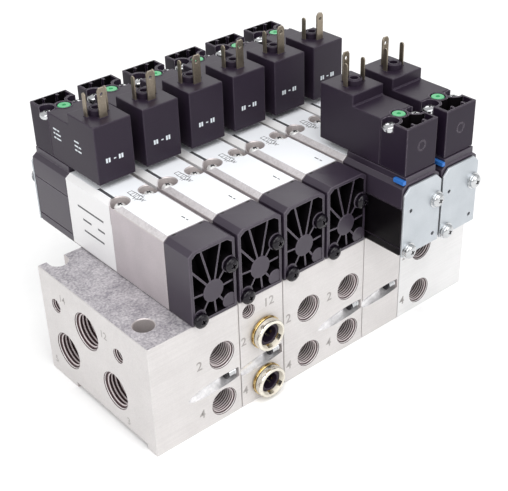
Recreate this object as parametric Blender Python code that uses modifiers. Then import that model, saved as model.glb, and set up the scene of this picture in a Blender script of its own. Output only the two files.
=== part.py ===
"""Six-station solenoid directional valve bank on a five-block manifold base.

Frame: +X along the manifold to the right, +Y from the port face to the back, +Z up.
The origin is under the middle of the bank, at the height of the mounting feet.
Lengths are written in millimetres and turned into metres when a mesh is made.
"""
import math

import bmesh
import bpy
from mathutils import Matrix, Vector

MM = 0.001
GAP = 0.3                      # air left between touching pieces
HALF_GAP = GAP / 2
FINE = 16                      # sides of ports and other large bores
MEDIUM = 12                    # sides of middling bores, hubs and pockets
COARSE = 8                     # sides of small bores, passages and screw heads
ROUGH = 6                      # sides of risers, air holes and eyes

# ---- stations -------------------------------------------------------------------------------
PITCH = 19.0
STATIONS = 6
DOUBLE_STATIONS = (5, 6)       # these have a pilot solenoid at both ends
FITTED_STATION = 2             # its outlets hold push-in cartridges
BLIND_STATION = 5              # it has no outlet ports

# ---- manifold base --------------------------------------------------------------------------
BASE_LENGTH = 147.4
BASE_FRONT = -36.8
BASE_BACK = 26.6
BASE_HEIGHT = 43.0
FRONT_FOOT = 5.0
BACK_FOOT = 16.4
CHANNEL_DEPTH = 2.2
BLOCK_JOINTS = (-2 * PITCH, -PITCH, PITCH, 2 * PITCH)
BLOCK_NAMES = ("base_left_end", "base_station_2", "base_stations_3_4", "base_station_5", "base_right_end")

GALLERY_Y = -1.2
GALLERY_SPREAD = 14.25
SUPPLY_Z = 30.5
EXHAUST_Z = 14.4
GALLERY_RADIUS = 4.0
GALLERY_BLIND = 12.0           # metal left beyond the galleries at the right end
SUPPLY_THREAD_RADIUS = 6.58    # G1/4
SUPPLY_THREAD_DEPTH = 11.0
PILOT_SPREAD = 18.5
PILOT_Z = 31.2
PILOT_THREAD_RADIUS = 2.5      # M5
PILOT_RADIUS = 1.6
PILOT_THREAD_DEPTH = 7.0

OUTLET_X = 1.9                 # outlet ports, from the station's middle
OUTLET_UPPER_Z = 26.6
OUTLET_LOWER_Z = 7.3
OUTLET_THREAD_RADIUS = 4.87    # G1/8
OUTLET_THREAD_DEPTH = 10.0
PASSAGE_RADIUS = 1.8
PASSAGE_OVERRUN = 0.9          # a cross drilling ends just past its riser's middle
RISER_START = 0.35             # and the riser starts just below the drilling's middle
UPPER_RISER_Y = -8.3
LOWER_RISER_Y = 5.9
LOWER_PASSAGE_Z = 5.6
EXHAUST_RISER_X = -4.2
EXHAUST_RISER_SHIFT = 0.35     # the gallery risers stand just behind the galleries' middles

CARTRIDGE_X = 1.0
CARTRIDGE_UPPER_Z = 27.1
CARTRIDGE_LOWER_Z = 7.3
SIGNAL_PORT_X = -5.4
SIGNAL_PORT_Z = 38.2

BOLT_X = 66.8                  # mounting hole and slot, from the middle
BOLT_FRONT_Y = -25.5
BOLT_BACK_Y = 24.2
BOLT_RADIUS = 3.5

TIE_POCKET_LENGTH = 18.3
TIE_POCKET_WALL = 1.7
TIE_POCKET_DEPTH = 5.0
TIE_POCKET_HALF_HEIGHT = 2.65
TIE_POCKET_FLOOR_Z = 14.0
TIE_POCKET_TIP = 0.02          # size of the cone's tip against its mouth
TIE_POCKET_SETBACK = 0.4       # the cone's middle lies behind the face

# ---- valve section --------------------------------------------------------------------------
VALVE_WIDTH = 17.8
VALVE_BOTTOM = BASE_HEIGHT + GAP
VALVE_TOP = 70.0
EDGE_X = 1.9
EDGE_Z = 1.4
BODY_FRONT = -24.65
BODY_BACK = 30.6
SPOOL_Z = 57.0
SPOOL_BORE_RADIUS = 4.45
PASSAGE_LEAN = 0.5             # risers lean in to this share of their distance at the bore
BODY_SCREW_X = 5.7
BODY_SCREW_Y = 2.9
BODY_SCREW_POCKET_RADIUS = 3.15
BODY_SCREW_POCKET_DEPTH = 3.8

SPOOL_FRONT = -20.8
SPOOL_BACK = 28.2
SPOOL_LAND_RADIUS = 4.0
SPOOL_WAIST_RADIUS = 2.4
SPOOL_LANDS = 4
SPOOL_LAND_LENGTH = 6.0

CAP_FRONT = -37.2
CAP_BACK = BODY_FRONT - GAP
CAP_WALL = 1.1
CAP_POCKET_DEPTH = 5.0
CAP_HUB_Z = 52.6
CAP_HUB_RADIUS = 3.8
CAP_RIB = 0.6
CAP_RIB_ANGLES = (22, 56, 80, 103, 148, 198, 235, 268, 325)
CAP_FACE_DROP = 0.3            # hub and bosses stand this far behind the rim
CAP_RIB_DROP = 0.5             # and the ribs this far
CAP_BITE = 0.5                 # overlap that joins hub, bosses and ribs to the floor and walls
CAP_SPRING_RADIUS = 3.8
CAP_SPRING_DEPTH = 5.5

COVER_SCREW_HIGH = (5.6, 61.0)
COVER_SCREW_LOW = (-6.3, 46.5)
COVER_HOLE_HIGH = (-5.6, 60.0)
COVER_HOLE_LOW = (6.1, 46.5)
SCREW_BOSS_RADIUS = 3.2
SCREW_HEAD_RADIUS = 2.5
SCREW_HEAD_HEIGHT = 2.7
LOW_BOSS_RADIUS = 2.8
LOW_BOSS_SHIFT = 0.5           # the low boss stands in from its screw, clear of the rim
SCREW_HEAD_SINK = 1.5

PILOT_BACK = 52.5
PILOT_START = BODY_BACK + GAP
FRONT_PILOT_START = BODY_FRONT - GAP
PILOT_RIDGE_TOP = 72.2
PILOT_RIDGE_HALF_WIDTH = 7.2
PILOT_SEAM_Z = 61.2
PILOT_SEAM = 0.4
RIDGE_SETBACK = 0.4            # the ridge ends short of the cover plate
PISTON_RADIUS = 5.5
PISTON_DEPTH = 9.0
PISTON_AIR_SETBACK = 2.0
PLATE_THICKNESS = 0.8
PLATE_BOTTOM = 43.0
PLATE_TOP = 69.2
PLATE_HALF_WIDTH = 9.0
PLATE_CORNER = 2.6
PLATE_HOLE_RADIUS = 0.7
PLATE_BITE = 0.2               # overlap of a rear plate and its pilot body
SCREW_BITE = 0.4               # overlap of a pan head and its plate

# ---- pilot solenoid, drawn for the rear ones ------------------------------------------------
COIL_HALF_WIDTH = 7.2
COIL_BOTTOM = 72.5
COIL_INNER = 11.7
COIL_STEP = 27.2
COIL_OUTER = 51.7
COIL_TOP = 93.2
COIL_LOW_TOP = 89.3
ARMATURE_Z = 80.5
ARMATURE_BORE_RADIUS = 3.45
ARMATURE_RADIUS = 2.9
ARMATURE_INNER = 22.0
ARMATURE_LENGTH = 14.0
ARMATURE_BORE_INNER = 20.5
ARMATURE_BORE_OUTER = 40.0
AIR_HOLE_Y = 38.5
AIR_HOLE_RADIUS = 1.2
BUTTON_Y = 41.1
BUTTON_RADIUS = 2.3
BUTTON_HOLE_RADIUS = 2.65
BUTTON_HEIGHT = 2.8
BUTTON_HOLE_DEPTH = 4.1
COIL_SCREW_X = 5.75
COIL_SCREW_Y = 43.0
COIL_SCREW_POCKET_RADIUS = 2.85
COIL_SCREW_POCKET_DEPTH = 3.0
END_POCKET_Y = (46.6, 50.9)
END_POCKET_HALF_WIDTH = 6.3
END_POCKET_DEPTH = 5.0
PLUG_BOSS_Y = 20.5
PLUG_BOSS_RADIUS = 2.8
PLUG_BOSS_HEIGHT = 2.2
PLUG_SCREW_RADIUS = 1.4
PLUG_SCREW_DEPTH = 6.0
POWER_BLADE = (0.5, 1.8, 8.3)      # thickness in X, width in Y, height
POWER_BLADE_X = 4.0
EARTH_BLADE = (3.0, 0.6, 10.2)     # width in X, thickness in Y, height
EARTH_BLADE_Y = 16.4
BLADE_ROOT = 1.0
BLADE_HOLE_RADIUS = 0.65
BLADE_HOLE_DROP = 2.2

# ---- push-in cartridge ----------------------------------------------------------------------
CARTRIDGE_BARREL_RADIUS = 4.5
CARTRIDGE_BARREL_LENGTH = 9.0
CARTRIDGE_RING_RADIUS = 6.0
CARTRIDGE_RING_LENGTH = 4.0
CARTRIDGE_RING_BEVEL = 0.6
CARTRIDGE_MOUTH_RADIUS = 4.3
CARTRIDGE_MOUTH_DEPTH = 3.7
CARTRIDGE_THROAT_RADIUS = 3.85
CARTRIDGE_THROAT_DEPTH = 10.5
CARTRIDGE_STOP_RADIUS = 2.4
COLLET_HEAD_RADIUS = 4.0
COLLET_HEAD_LENGTH = 1.0
COLLET_RADIUS = 3.5
TUBE_RADIUS = 3.05
COLLET_RECESS = 1.6
COLLET_LENGTH = 6.0

COLOURS = {
    "aluminium": ((0.72, 0.70, 0.68, 1), 0.42, 0.9),
    "black_plastic": ((0.035, 0.03, 0.04, 1), 0.45, 0.0),
    "steel": ((0.62, 0.64, 0.66, 1), 0.3, 1.0),
    "nickel": ((0.8, 0.77, 0.68, 1), 0.22, 1.0),
    "green_plastic": ((0.05, 0.5, 0.17, 1), 0.4, 0.0),
    "zinc_plate": ((0.68, 0.74, 0.78, 1), 0.28, 1.0),
}


# ---- making shapes --------------------------------------------------------------------------
def clear_scene():
    for item in list(bpy.data.objects):
        bpy.data.objects.remove(item, do_unlink=True)
    for mesh in list(bpy.data.meshes):
        bpy.data.meshes.remove(mesh)


def material(name):
    found = bpy.data.materials.get(name)
    if found:
        return found
    colour, roughness, metallic = COLOURS[name]
    made = bpy.data.materials.new(name)
    made.use_nodes = True
    shader = made.node_tree.nodes["Principled BSDF"]
    shader.inputs["Base Color"].default_value = colour
    shader.inputs["Roughness"].default_value = roughness
    shader.inputs["Metallic"].default_value = metallic
    made.diffuse_color = colour
    return made


def shape_from(bm, name="shape"):
    """A loose object holding the bmesh, scaled from millimetres to metres."""
    bmesh.ops.scale(bm, vec=Vector((MM, MM, MM)), verts=bm.verts)
    bmesh.ops.recalc_face_normals(bm, faces=bm.faces)
    mesh = bpy.data.meshes.new(name)
    bm.to_mesh(mesh)
    bm.free()
    made = bpy.data.objects.new(name, mesh)
    bpy.context.scene.collection.objects.link(made)
    return made


def block(low, high):
    low, high = Vector(low), Vector(high)
    bm = bmesh.new()
    place = Matrix.Translation((low + high) / 2) @ Matrix.Diagonal((*(high - low), 1))
    bmesh.ops.create_cube(bm, size=1, matrix=place)
    return shape_from(bm)


def rod(start, end, radius, sides=FINE, end_radius=None):
    """A round bar, or a cone when end_radius differs, from start to end."""
    start, end = Vector(start), Vector(end)
    run = end - start
    turn = run.to_track_quat("Z", "Y").to_matrix().to_4x4()
    bm = bmesh.new()
    bmesh.ops.create_cone(
        bm, cap_ends=True, segments=sides, radius1=radius, depth=run.length,
        radius2=radius if end_radius is None else end_radius,
        matrix=Matrix.Translation((start + end) / 2) @ turn)
    return shape_from(bm)


def outline(points, y_start, y_end):
    """A flat outline of (x, z) points, thickened along Y."""
    curve = bpy.data.curves.new("outline", "CURVE")
    curve.dimensions = "2D"
    curve.fill_mode = "BOTH"
    curve.extrude = abs(y_end - y_start) / 2 * MM
    spline = curve.splines.new("POLY")
    spline.points.add(len(points) - 1)
    spline.use_cyclic_u = True
    for slot, (x, z) in zip(spline.points, points):
        slot.co = (x * MM, z * MM, 0, 1)
    flat = bpy.data.objects.new("outline", curve)
    bpy.context.scene.collection.objects.link(flat)
    flat.matrix_world = Matrix.Translation((0, (y_start + y_end) / 2 * MM, 0)) @ Matrix.Rotation(
        math.radians(90), 4, "X")
    bpy.context.view_layer.update()
    depsgraph = bpy.context.evaluated_depsgraph_get()
    mesh = bpy.data.meshes.new_from_object(flat.evaluated_get(depsgraph))
    mesh.transform(flat.matrix_world)
    bpy.data.objects.remove(flat)
    bm = bmesh.new()
    bm.from_mesh(mesh)
    bpy.data.meshes.remove(mesh)
    bmesh.ops.remove_doubles(bm, verts=bm.verts, dist=0.00001)
    bmesh.ops.scale(bm, vec=Vector((1 / MM, 1 / MM, 1 / MM)), verts=bm.verts)
    return shape_from(bm)


def merge(body, tools, operation):
    """Cut the tools from the body, or join them to it, and use them up."""
    for tool in tools:
        change = body.modifiers.new("change", "BOOLEAN")
        change.operation = operation
        change.solver = "EXACT"
        change.object = tool
    bpy.context.view_layer.update()
    depsgraph = bpy.context.evaluated_depsgraph_get()
    mesh = bpy.data.meshes.new_from_object(body.evaluated_get(depsgraph))
    for spent in (body, *tools):
        bpy.data.objects.remove(spent)
    made = bpy.data.objects.new("shape", mesh)
    bpy.context.scene.collection.objects.link(made)
    return made


def cut(body, tools):
    return merge(body, tools, "DIFFERENCE")


def join(body, tools):
    return merge(body, tools, "UNION")


def name_part(shape, name, finish, collection, place=(0, 0, 0), turn=0):
    """Turn a loose shape into a named part; its mesh can be shared by copies."""
    mesh = shape.data if hasattr(shape, "data") else shape
    mesh.materials.clear()
    mesh.materials.append(material(finish))
    mesh.shade_smooth()
    mesh.set_sharp_from_angle(angle=math.radians(35))
    part = bpy.data.objects.new(name, mesh)
    part.location = Vector(place) * MM
    part.rotation_euler.z = math.radians(turn)
    collection.objects.link(part)
    if hasattr(shape, "data"):
        bpy.data.objects.remove(shape)
    return part


def station_x(station):
    return (station - (STATIONS + 1) / 2) * PITCH


# ---- manifold base --------------------------------------------------------------------------
def gallery_tools(block_end_right):
    """Supply, exhaust and pilot galleries with their threaded mouths at the left end."""
    left = -BASE_LENGTH / 2 - 1
    right = BASE_LENGTH / 2 - GALLERY_BLIND
    centres = [(GALLERY_Y, SUPPLY_Z), (GALLERY_Y - GALLERY_SPREAD, EXHAUST_Z),
               (GALLERY_Y + GALLERY_SPREAD, EXHAUST_Z)]
    tools = [rod((left, y, z), (right, y, z), GALLERY_RADIUS, MEDIUM) for y, z in centres]
    pilots = [(GALLERY_Y - PILOT_SPREAD, PILOT_Z), (GALLERY_Y + PILOT_SPREAD, PILOT_Z)]
    tools += [rod((left, y, z), (right, y, z), PILOT_RADIUS, COARSE) for y, z in pilots]
    if block_end_right == BLOCK_JOINTS[0]:
        mouth = -BASE_LENGTH / 2
        tools += [rod((left, y, z), (mouth + SUPPLY_THREAD_DEPTH, y, z), SUPPLY_THREAD_RADIUS)
                  for y, z in centres]
        tools += [rod((left, y, z), (mouth + PILOT_THREAD_DEPTH, y, z), PILOT_THREAD_RADIUS, MEDIUM)
                  for y, z in pilots]
    return tools


def riser(x, y, bottom):
    return rod((x, y, bottom), (x, y, BASE_HEIGHT + 1), PASSAGE_RADIUS, COARSE)


def station_tools(station):
    """Outlet ports of one station and the passages that rise from it to the valve."""
    middle = station_x(station)
    riser_x = middle + EXHAUST_RISER_X
    centre = GALLERY_Y + EXHAUST_RISER_SHIFT
    tools = [riser(riser_x, centre, SUPPLY_Z)]
    for side in (-1, 1):
        tools.append(riser(riser_x, centre + side * GALLERY_SPREAD, EXHAUST_Z))
    if station == BLIND_STATION:
        return tools
    fitted = station == FITTED_STATION
    x = middle + (CARTRIDGE_X if fitted else OUTLET_X)
    upper = CARTRIDGE_UPPER_Z if fitted else OUTLET_UPPER_Z
    lower = CARTRIDGE_LOWER_Z if fitted else OUTLET_LOWER_Z
    outlets = ((upper, OUTLET_UPPER_Z, UPPER_RISER_Y), (lower, LOWER_PASSAGE_Z, LOWER_RISER_Y))
    for z, passage_z, riser_y in outlets:
        tools.append(rod((x, BASE_FRONT - 1, z), (x, BASE_FRONT + OUTLET_THREAD_DEPTH, z),
                         OUTLET_THREAD_RADIUS))
        tools.append(rod((x, BASE_FRONT + 1, passage_z), (x, riser_y + PASSAGE_OVERRUN, passage_z),
                         PASSAGE_RADIUS, COARSE))
        tools.append(riser(x, riser_y, passage_z - RISER_START))
    if fitted:
        signal = (middle + SIGNAL_PORT_X, SIGNAL_PORT_Z)
        tools.append(rod((signal[0], BASE_FRONT - 1, signal[1]),
                         (signal[0], BASE_FRONT + PILOT_THREAD_DEPTH, signal[1]),
                         PILOT_THREAD_RADIUS, MEDIUM))
    return tools


def bolt_tools(side):
    """Through hole at the front corner of an end block and open slot at its back edge."""
    x = side * BOLT_X
    hole = rod((x, BOLT_FRONT_Y, -1), (x, BOLT_FRONT_Y, BASE_HEIGHT + 1), BOLT_RADIUS)
    slot_end = rod((x, BOLT_BACK_Y, -1), (x, BOLT_BACK_Y, BASE_HEIGHT + 1), BOLT_RADIUS)
    slot = block((x - BOLT_RADIUS, BOLT_BACK_Y, -2), (x + BOLT_RADIUS, BASE_BACK + 2, BASE_HEIGHT + 2))
    return [hole, slot_end, slot]


def tie_pocket(joint):
    """Tapered pocket in the port face that takes the tie screw of the next joint."""
    end = joint - TIE_POCKET_WALL
    floor = TIE_POCKET_FLOOR_Z + TIE_POCKET_HALF_HEIGHT
    bm = bmesh.new()
    bmesh.ops.create_cone(bm, cap_ends=True, segments=MEDIUM, radius1=TIE_POCKET_TIP, radius2=1,
                          depth=TIE_POCKET_LENGTH, matrix=Matrix.Rotation(math.radians(90), 4, "Y"))
    bmesh.ops.scale(bm, vec=Vector((1, TIE_POCKET_DEPTH, TIE_POCKET_HALF_HEIGHT)), verts=bm.verts)
    rise = TIE_POCKET_HALF_HEIGHT / TIE_POCKET_LENGTH
    bmesh.ops.transform(bm, matrix=Matrix(((1, 0, 0, 0), (0, 1, 0, 0), (rise, 0, 1, 0), (0, 0, 0, 1))),
                        verts=bm.verts)
    bmesh.ops.translate(bm, vec=Vector((end - TIE_POCKET_LENGTH / 2, BASE_FRONT + TIE_POCKET_SETBACK,
                                        floor - TIE_POCKET_HALF_HEIGHT / 2)), verts=bm.verts)
    return shape_from(bm)


def base_blocks(collection):
    edges = (-BASE_LENGTH / 2, *BLOCK_JOINTS, BASE_LENGTH / 2)
    for index, name in enumerate(BLOCK_NAMES):
        left = edges[index] + (HALF_GAP if index else 0)
        right = edges[index + 1] - (HALF_GAP if index < len(BLOCK_NAMES) - 1 else 0)
        body = block((left, BASE_FRONT, 0), (right, BASE_BACK, BASE_HEIGHT))
        tools = [block((left - 1, BASE_FRONT + FRONT_FOOT, -1),
                       (right + 1, BASE_BACK - BACK_FOOT, CHANNEL_DEPTH))]
        tools += gallery_tools(edges[index + 1])
        for station in range(1, STATIONS + 1):
            if left < station_x(station) < right:
                tools += station_tools(station)
        if index == 0:
            tools += bolt_tools(-1)
        if index == len(BLOCK_NAMES) - 1:
            tools += bolt_tools(1)
        else:
            tools.append(tie_pocket(edges[index + 1]))
        name_part(cut(body, tools), name, "aluminium", collection)


# ---- valve ----------------------------------------------------------------------------------
def valve_section():
    half = VALVE_WIDTH / 2
    return [(-half, VALVE_BOTTOM), (half, VALVE_BOTTOM), (half, VALVE_TOP - EDGE_Z),
            (half - EDGE_X, VALVE_TOP), (EDGE_X - half, VALVE_TOP), (-half, VALVE_TOP - EDGE_Z)]


def valve_body_shape():
    body = outline(valve_section(), BODY_FRONT, BODY_BACK)
    tools = [rod((0, BODY_FRONT - 1, SPOOL_Z), (0, BODY_BACK + 1, SPOOL_Z), SPOOL_BORE_RADIUS, MEDIUM)]
    supply_y = GALLERY_Y + EXHAUST_RISER_SHIFT
    risers = [(EXHAUST_RISER_X, supply_y), (EXHAUST_RISER_X, supply_y - GALLERY_SPREAD),
              (EXHAUST_RISER_X, supply_y + GALLERY_SPREAD), (OUTLET_X, UPPER_RISER_Y),
              (OUTLET_X, LOWER_RISER_Y)]
    for x, y in risers:
        tools.append(rod((x, y, VALVE_BOTTOM - 1), (x * PASSAGE_LEAN, y, SPOOL_Z), PASSAGE_RADIUS, ROUGH))
    for side in (-1, 1):
        x = side * BODY_SCREW_X
        tools.append(rod((x, BODY_SCREW_Y, VALVE_TOP - BODY_SCREW_POCKET_DEPTH),
                         (x, BODY_SCREW_Y, VALVE_TOP + 1), BODY_SCREW_POCKET_RADIUS, MEDIUM))
    return cut(body, tools)


def spool_shape():
    """Turned spool: lands joined by waists, revolved from one profile."""
    length = SPOOL_BACK - SPOOL_FRONT
    step = (length - SPOOL_LAND_LENGTH) / (SPOOL_LANDS - 1)
    profile = [(0, length)]
    for land in reversed(range(SPOOL_LANDS)):
        top = land * step + SPOOL_LAND_LENGTH
        profile += [(SPOOL_LAND_RADIUS, top), (SPOOL_LAND_RADIUS, top - SPOOL_LAND_LENGTH)]
        if land:
            next_top = (land - 1) * step + SPOOL_LAND_LENGTH
            profile += [(SPOOL_WAIST_RADIUS, top - SPOOL_LAND_LENGTH), (SPOOL_WAIST_RADIUS, next_top)]
    profile.append((0, 0))
    return turned(profile, COARSE)


def turned(profile, sides):
    """Revolve (radius, height) points about Z, then lay the piece along +Y."""
    mesh = bpy.data.meshes.new("profile")
    points = [(radius * MM, 0, height * MM) for radius, height in profile]
    mesh.from_pydata(points, [(i, i + 1) for i in range(len(points) - 1)], [])
    made = bpy.data.objects.new("profile", mesh)
    bpy.context.scene.collection.objects.link(made)
    screw = made.modifiers.new("turn", "SCREW")
    screw.steps = sides
    screw.render_steps = sides
    screw.use_merge_vertices = True
    screw.merge_threshold = 0.00001
    bpy.context.view_layer.update()
    depsgraph = bpy.context.evaluated_depsgraph_get()
    finished = bpy.data.meshes.new_from_object(made.evaluated_get(depsgraph))
    bpy.data.objects.remove(made)
    finished.transform(Matrix.Rotation(math.radians(-90), 4, "X"))
    bm = bmesh.new()
    bm.from_mesh(finished)
    bmesh.ops.remove_doubles(bm, verts=bm.verts, dist=0.00001)
    bmesh.ops.scale(bm, vec=Vector((1 / MM, 1 / MM, 1 / MM)), verts=bm.verts)
    bpy.data.meshes.remove(finished)
    return shape_from(bm)


def end_cap_shape():
    """Moulded end cap: open front pocket, round hub, radial ribs and screw bosses."""
    body = outline(valve_section(), CAP_FRONT, CAP_BACK)
    half = VALVE_WIDTH / 2 - CAP_WALL
    floor = VALVE_BOTTOM + CAP_WALL
    top = VALVE_TOP - CAP_WALL
    opening = [(-half, floor), (half, floor), (half, top - EDGE_Z), (half - EDGE_X, top),
               (EDGE_X - half, top), (-half, top - EDGE_Z)]
    pocket = outline(opening, CAP_FRONT - 1, CAP_FRONT + CAP_POCKET_DEPTH)
    spring = rod((0, CAP_BACK - CAP_SPRING_DEPTH, SPOOL_Z), (0, CAP_BACK + 1, SPOOL_Z),
                 CAP_SPRING_RADIUS, COARSE)
    body = cut(body, [pocket, spring])
    face = CAP_FRONT + CAP_FACE_DROP
    depth = CAP_FRONT + CAP_POCKET_DEPTH + CAP_BITE
    hub = rod((0, face, CAP_HUB_Z), (0, depth, CAP_HUB_Z), CAP_HUB_RADIUS, MEDIUM)
    bosses = [rod((x, face, z), (x, depth, z), SCREW_BOSS_RADIUS, COARSE)
              for x, z in (COVER_SCREW_HIGH, COVER_HOLE_LOW)]
    low_x, low_z = COVER_SCREW_LOW[0] + LOW_BOSS_SHIFT, COVER_SCREW_LOW[1]
    bosses.append(rod((low_x, face, low_z), (low_x, depth, low_z), LOW_BOSS_RADIUS, COARSE))
    body = join(body, [hub] + bosses)
    ribs = []
    for angle in CAP_RIB_ANGLES:
        ribs.append(rib(math.radians(angle), CAP_FRONT + CAP_RIB_DROP, depth, half, floor, top))
    body = join(body, ribs)
    heads = [rod((x, face - SCREW_HEAD_HEIGHT, z), (x, face + SCREW_HEAD_SINK, z),
                 SCREW_HEAD_RADIUS, COARSE)
             for x, z in (COVER_SCREW_HIGH, COVER_SCREW_LOW)]
    return join(body, heads)


def rib(angle, y_front, y_back, half, floor, top):
    """A thin radial wall from the hub to the inside of the cap's rim."""
    direction = Vector((math.cos(angle), 0, math.sin(angle)))
    room = (top - CAP_HUB_Z) if direction.z > 0 else (CAP_HUB_Z - floor)
    length = min(half / abs(direction.x), room / abs(direction.z)) + CAP_BITE
    start = CAP_HUB_RADIUS - CAP_BITE
    bm = bmesh.new()
    place = (Matrix.Translation((0, 0, CAP_HUB_Z)) @ Matrix.Rotation(-angle, 4, "Y")
             @ Matrix.Translation(((start + length) / 2, (y_front + y_back) / 2, 0))
             @ Matrix.Diagonal((length - start, y_back - y_front, CAP_RIB, 1)))
    bmesh.ops.create_cube(bm, size=1, matrix=place)
    return shape_from(bm)


def plate_outline():
    half = PLATE_HALF_WIDTH
    corner = PLATE_CORNER
    return [(-half, PLATE_BOTTOM), (half, PLATE_BOTTOM), (half, PLATE_TOP - corner),
            (half - corner, PLATE_TOP), (corner - half, PLATE_TOP), (-half, PLATE_TOP - corner)]


def cover_screws(face):
    """Two pan heads on a rear cover face, seen by the rear pilots' own axes."""
    return [rod((-x, face - SCREW_BITE, z), (-x, face + SCREW_HEAD_HEIGHT, z), SCREW_HEAD_RADIUS, COARSE)
            for x, z in (COVER_SCREW_HIGH, COVER_SCREW_LOW)]


def pilot_body_shape(start, with_plate):
    """Pilot adaptor behind a valve body, with its piston chamber and solenoid seat."""
    body = outline(valve_section(), start, PILOT_BACK)
    seat = block((-PILOT_RIDGE_HALF_WIDTH, start, VALVE_TOP - 1),
                 (PILOT_RIDGE_HALF_WIDTH, PILOT_BACK - RIDGE_SETBACK, PILOT_RIDGE_TOP))
    body = join(body, [seat])
    chamber = rod((0, start - 1, SPOOL_Z), (0, start + PISTON_DEPTH, SPOOL_Z), PISTON_RADIUS, COARSE)
    air_y = start + PISTON_DEPTH - PISTON_AIR_SETBACK
    air = rod((0, air_y, SPOOL_Z), (0, air_y, PILOT_RIDGE_TOP + 1), AIR_HOLE_RADIUS, ROUGH)
    seams = [block((side * VALVE_WIDTH / 2 - PILOT_SEAM, start - 1, PILOT_SEAM_Z - PILOT_SEAM / 2),
                   (side * VALVE_WIDTH / 2 + PILOT_SEAM, PILOT_BACK + 1, PILOT_SEAM_Z + PILOT_SEAM / 2))
             for side in (-1, 1)]
    body = cut(body, [chamber, air] + seams)
    if not with_plate:
        return body
    plate = outline(plate_outline(), PILOT_BACK - PLATE_BITE, PILOT_BACK + GAP + PLATE_THICKNESS)
    body = join(body, [plate])
    return join(body, cover_screws(PILOT_BACK + GAP + PLATE_THICKNESS))


def cover_plate_shape():
    """Loose cover plate with its two screws, drawn behind a rear pilot."""
    back = PILOT_BACK + GAP
    body = outline(plate_outline(), back, back + PLATE_THICKNESS)
    holes = [rod((-x, back - 1, z), (-x, back + 3, z), PLATE_HOLE_RADIUS, ROUGH)
             for x, z in (COVER_HOLE_HIGH, COVER_HOLE_LOW)]
    return join(cut(body, holes), cover_screws(back + PLATE_THICKNESS))


# ---- pilot solenoid -------------------------------------------------------------------------
def blade(width_x, width_y, height, x, y, hole_axis):
    low = (x - width_x / 2, y - width_y / 2, COIL_TOP - BLADE_ROOT)
    high = (x + width_x / 2, y + width_y / 2, COIL_TOP + height)
    body = block(low, high)
    eye = Vector((x, y, COIL_TOP + height - BLADE_HOLE_DROP))
    return cut(body, [rod(eye - hole_axis * 2, eye + hole_axis * 2, BLADE_HOLE_RADIUS, ROUGH)])


def solenoid_shape():
    low = block((-COIL_HALF_WIDTH, COIL_INNER, COIL_BOTTOM), (COIL_HALF_WIDTH, COIL_OUTER, COIL_LOW_TOP))
    high = block((-COIL_HALF_WIDTH, COIL_INNER, COIL_BOTTOM + 1), (COIL_HALF_WIDTH, COIL_STEP, COIL_TOP))
    boss = rod((0, PLUG_BOSS_Y, COIL_TOP - 1), (0, PLUG_BOSS_Y, COIL_TOP + PLUG_BOSS_HEIGHT),
               PLUG_BOSS_RADIUS, MEDIUM)
    body = join(low, [high, boss])
    bore = rod((0, ARMATURE_BORE_INNER, ARMATURE_Z), (0, ARMATURE_BORE_OUTER, ARMATURE_Z),
               ARMATURE_BORE_RADIUS, COARSE)
    air = rod((0, AIR_HOLE_Y, COIL_BOTTOM - 1), (0, AIR_HOLE_Y, ARMATURE_Z), AIR_HOLE_RADIUS, ROUGH)
    button = rod((0, BUTTON_Y, COIL_LOW_TOP - BUTTON_HOLE_DEPTH), (0, BUTTON_Y, COIL_LOW_TOP + 1),
                 BUTTON_HOLE_RADIUS, MEDIUM)
    screws = [rod((side * COIL_SCREW_X, COIL_SCREW_Y, COIL_LOW_TOP - COIL_SCREW_POCKET_DEPTH),
                  (side * COIL_SCREW_X, COIL_SCREW_Y, COIL_LOW_TOP + 1), COIL_SCREW_POCKET_RADIUS, MEDIUM)
              for side in (-1, 1)]
    pocket = block((-END_POCKET_HALF_WIDTH, END_POCKET_Y[0], COIL_LOW_TOP - END_POCKET_DEPTH),
                   (END_POCKET_HALF_WIDTH, END_POCKET_Y[1], COIL_LOW_TOP + 1))
    thread = rod((0, PLUG_BOSS_Y, COIL_TOP + PLUG_BOSS_HEIGHT - PLUG_SCREW_DEPTH),
                 (0, PLUG_BOSS_Y, COIL_TOP + PLUG_BOSS_HEIGHT + 1), PLUG_SCREW_RADIUS, COARSE)
    body = cut(body, [bore, air, button, pocket, thread] + screws)
    blades = [blade(*POWER_BLADE, side * POWER_BLADE_X, PLUG_BOSS_Y, Vector((1, 0, 0))) for side in (-1, 1)]
    blades.append(blade(*EARTH_BLADE, 0, EARTH_BLADE_Y, Vector((0, 1, 0))))
    return join(body, blades)


def armature_shape():
    return rod((0, 0, 0), (0, ARMATURE_LENGTH, 0), ARMATURE_RADIUS, COARSE)


def button_shape():
    return rod((0, 0, -BUTTON_HEIGHT), (0, 0, 0), BUTTON_RADIUS, MEDIUM)


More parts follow.
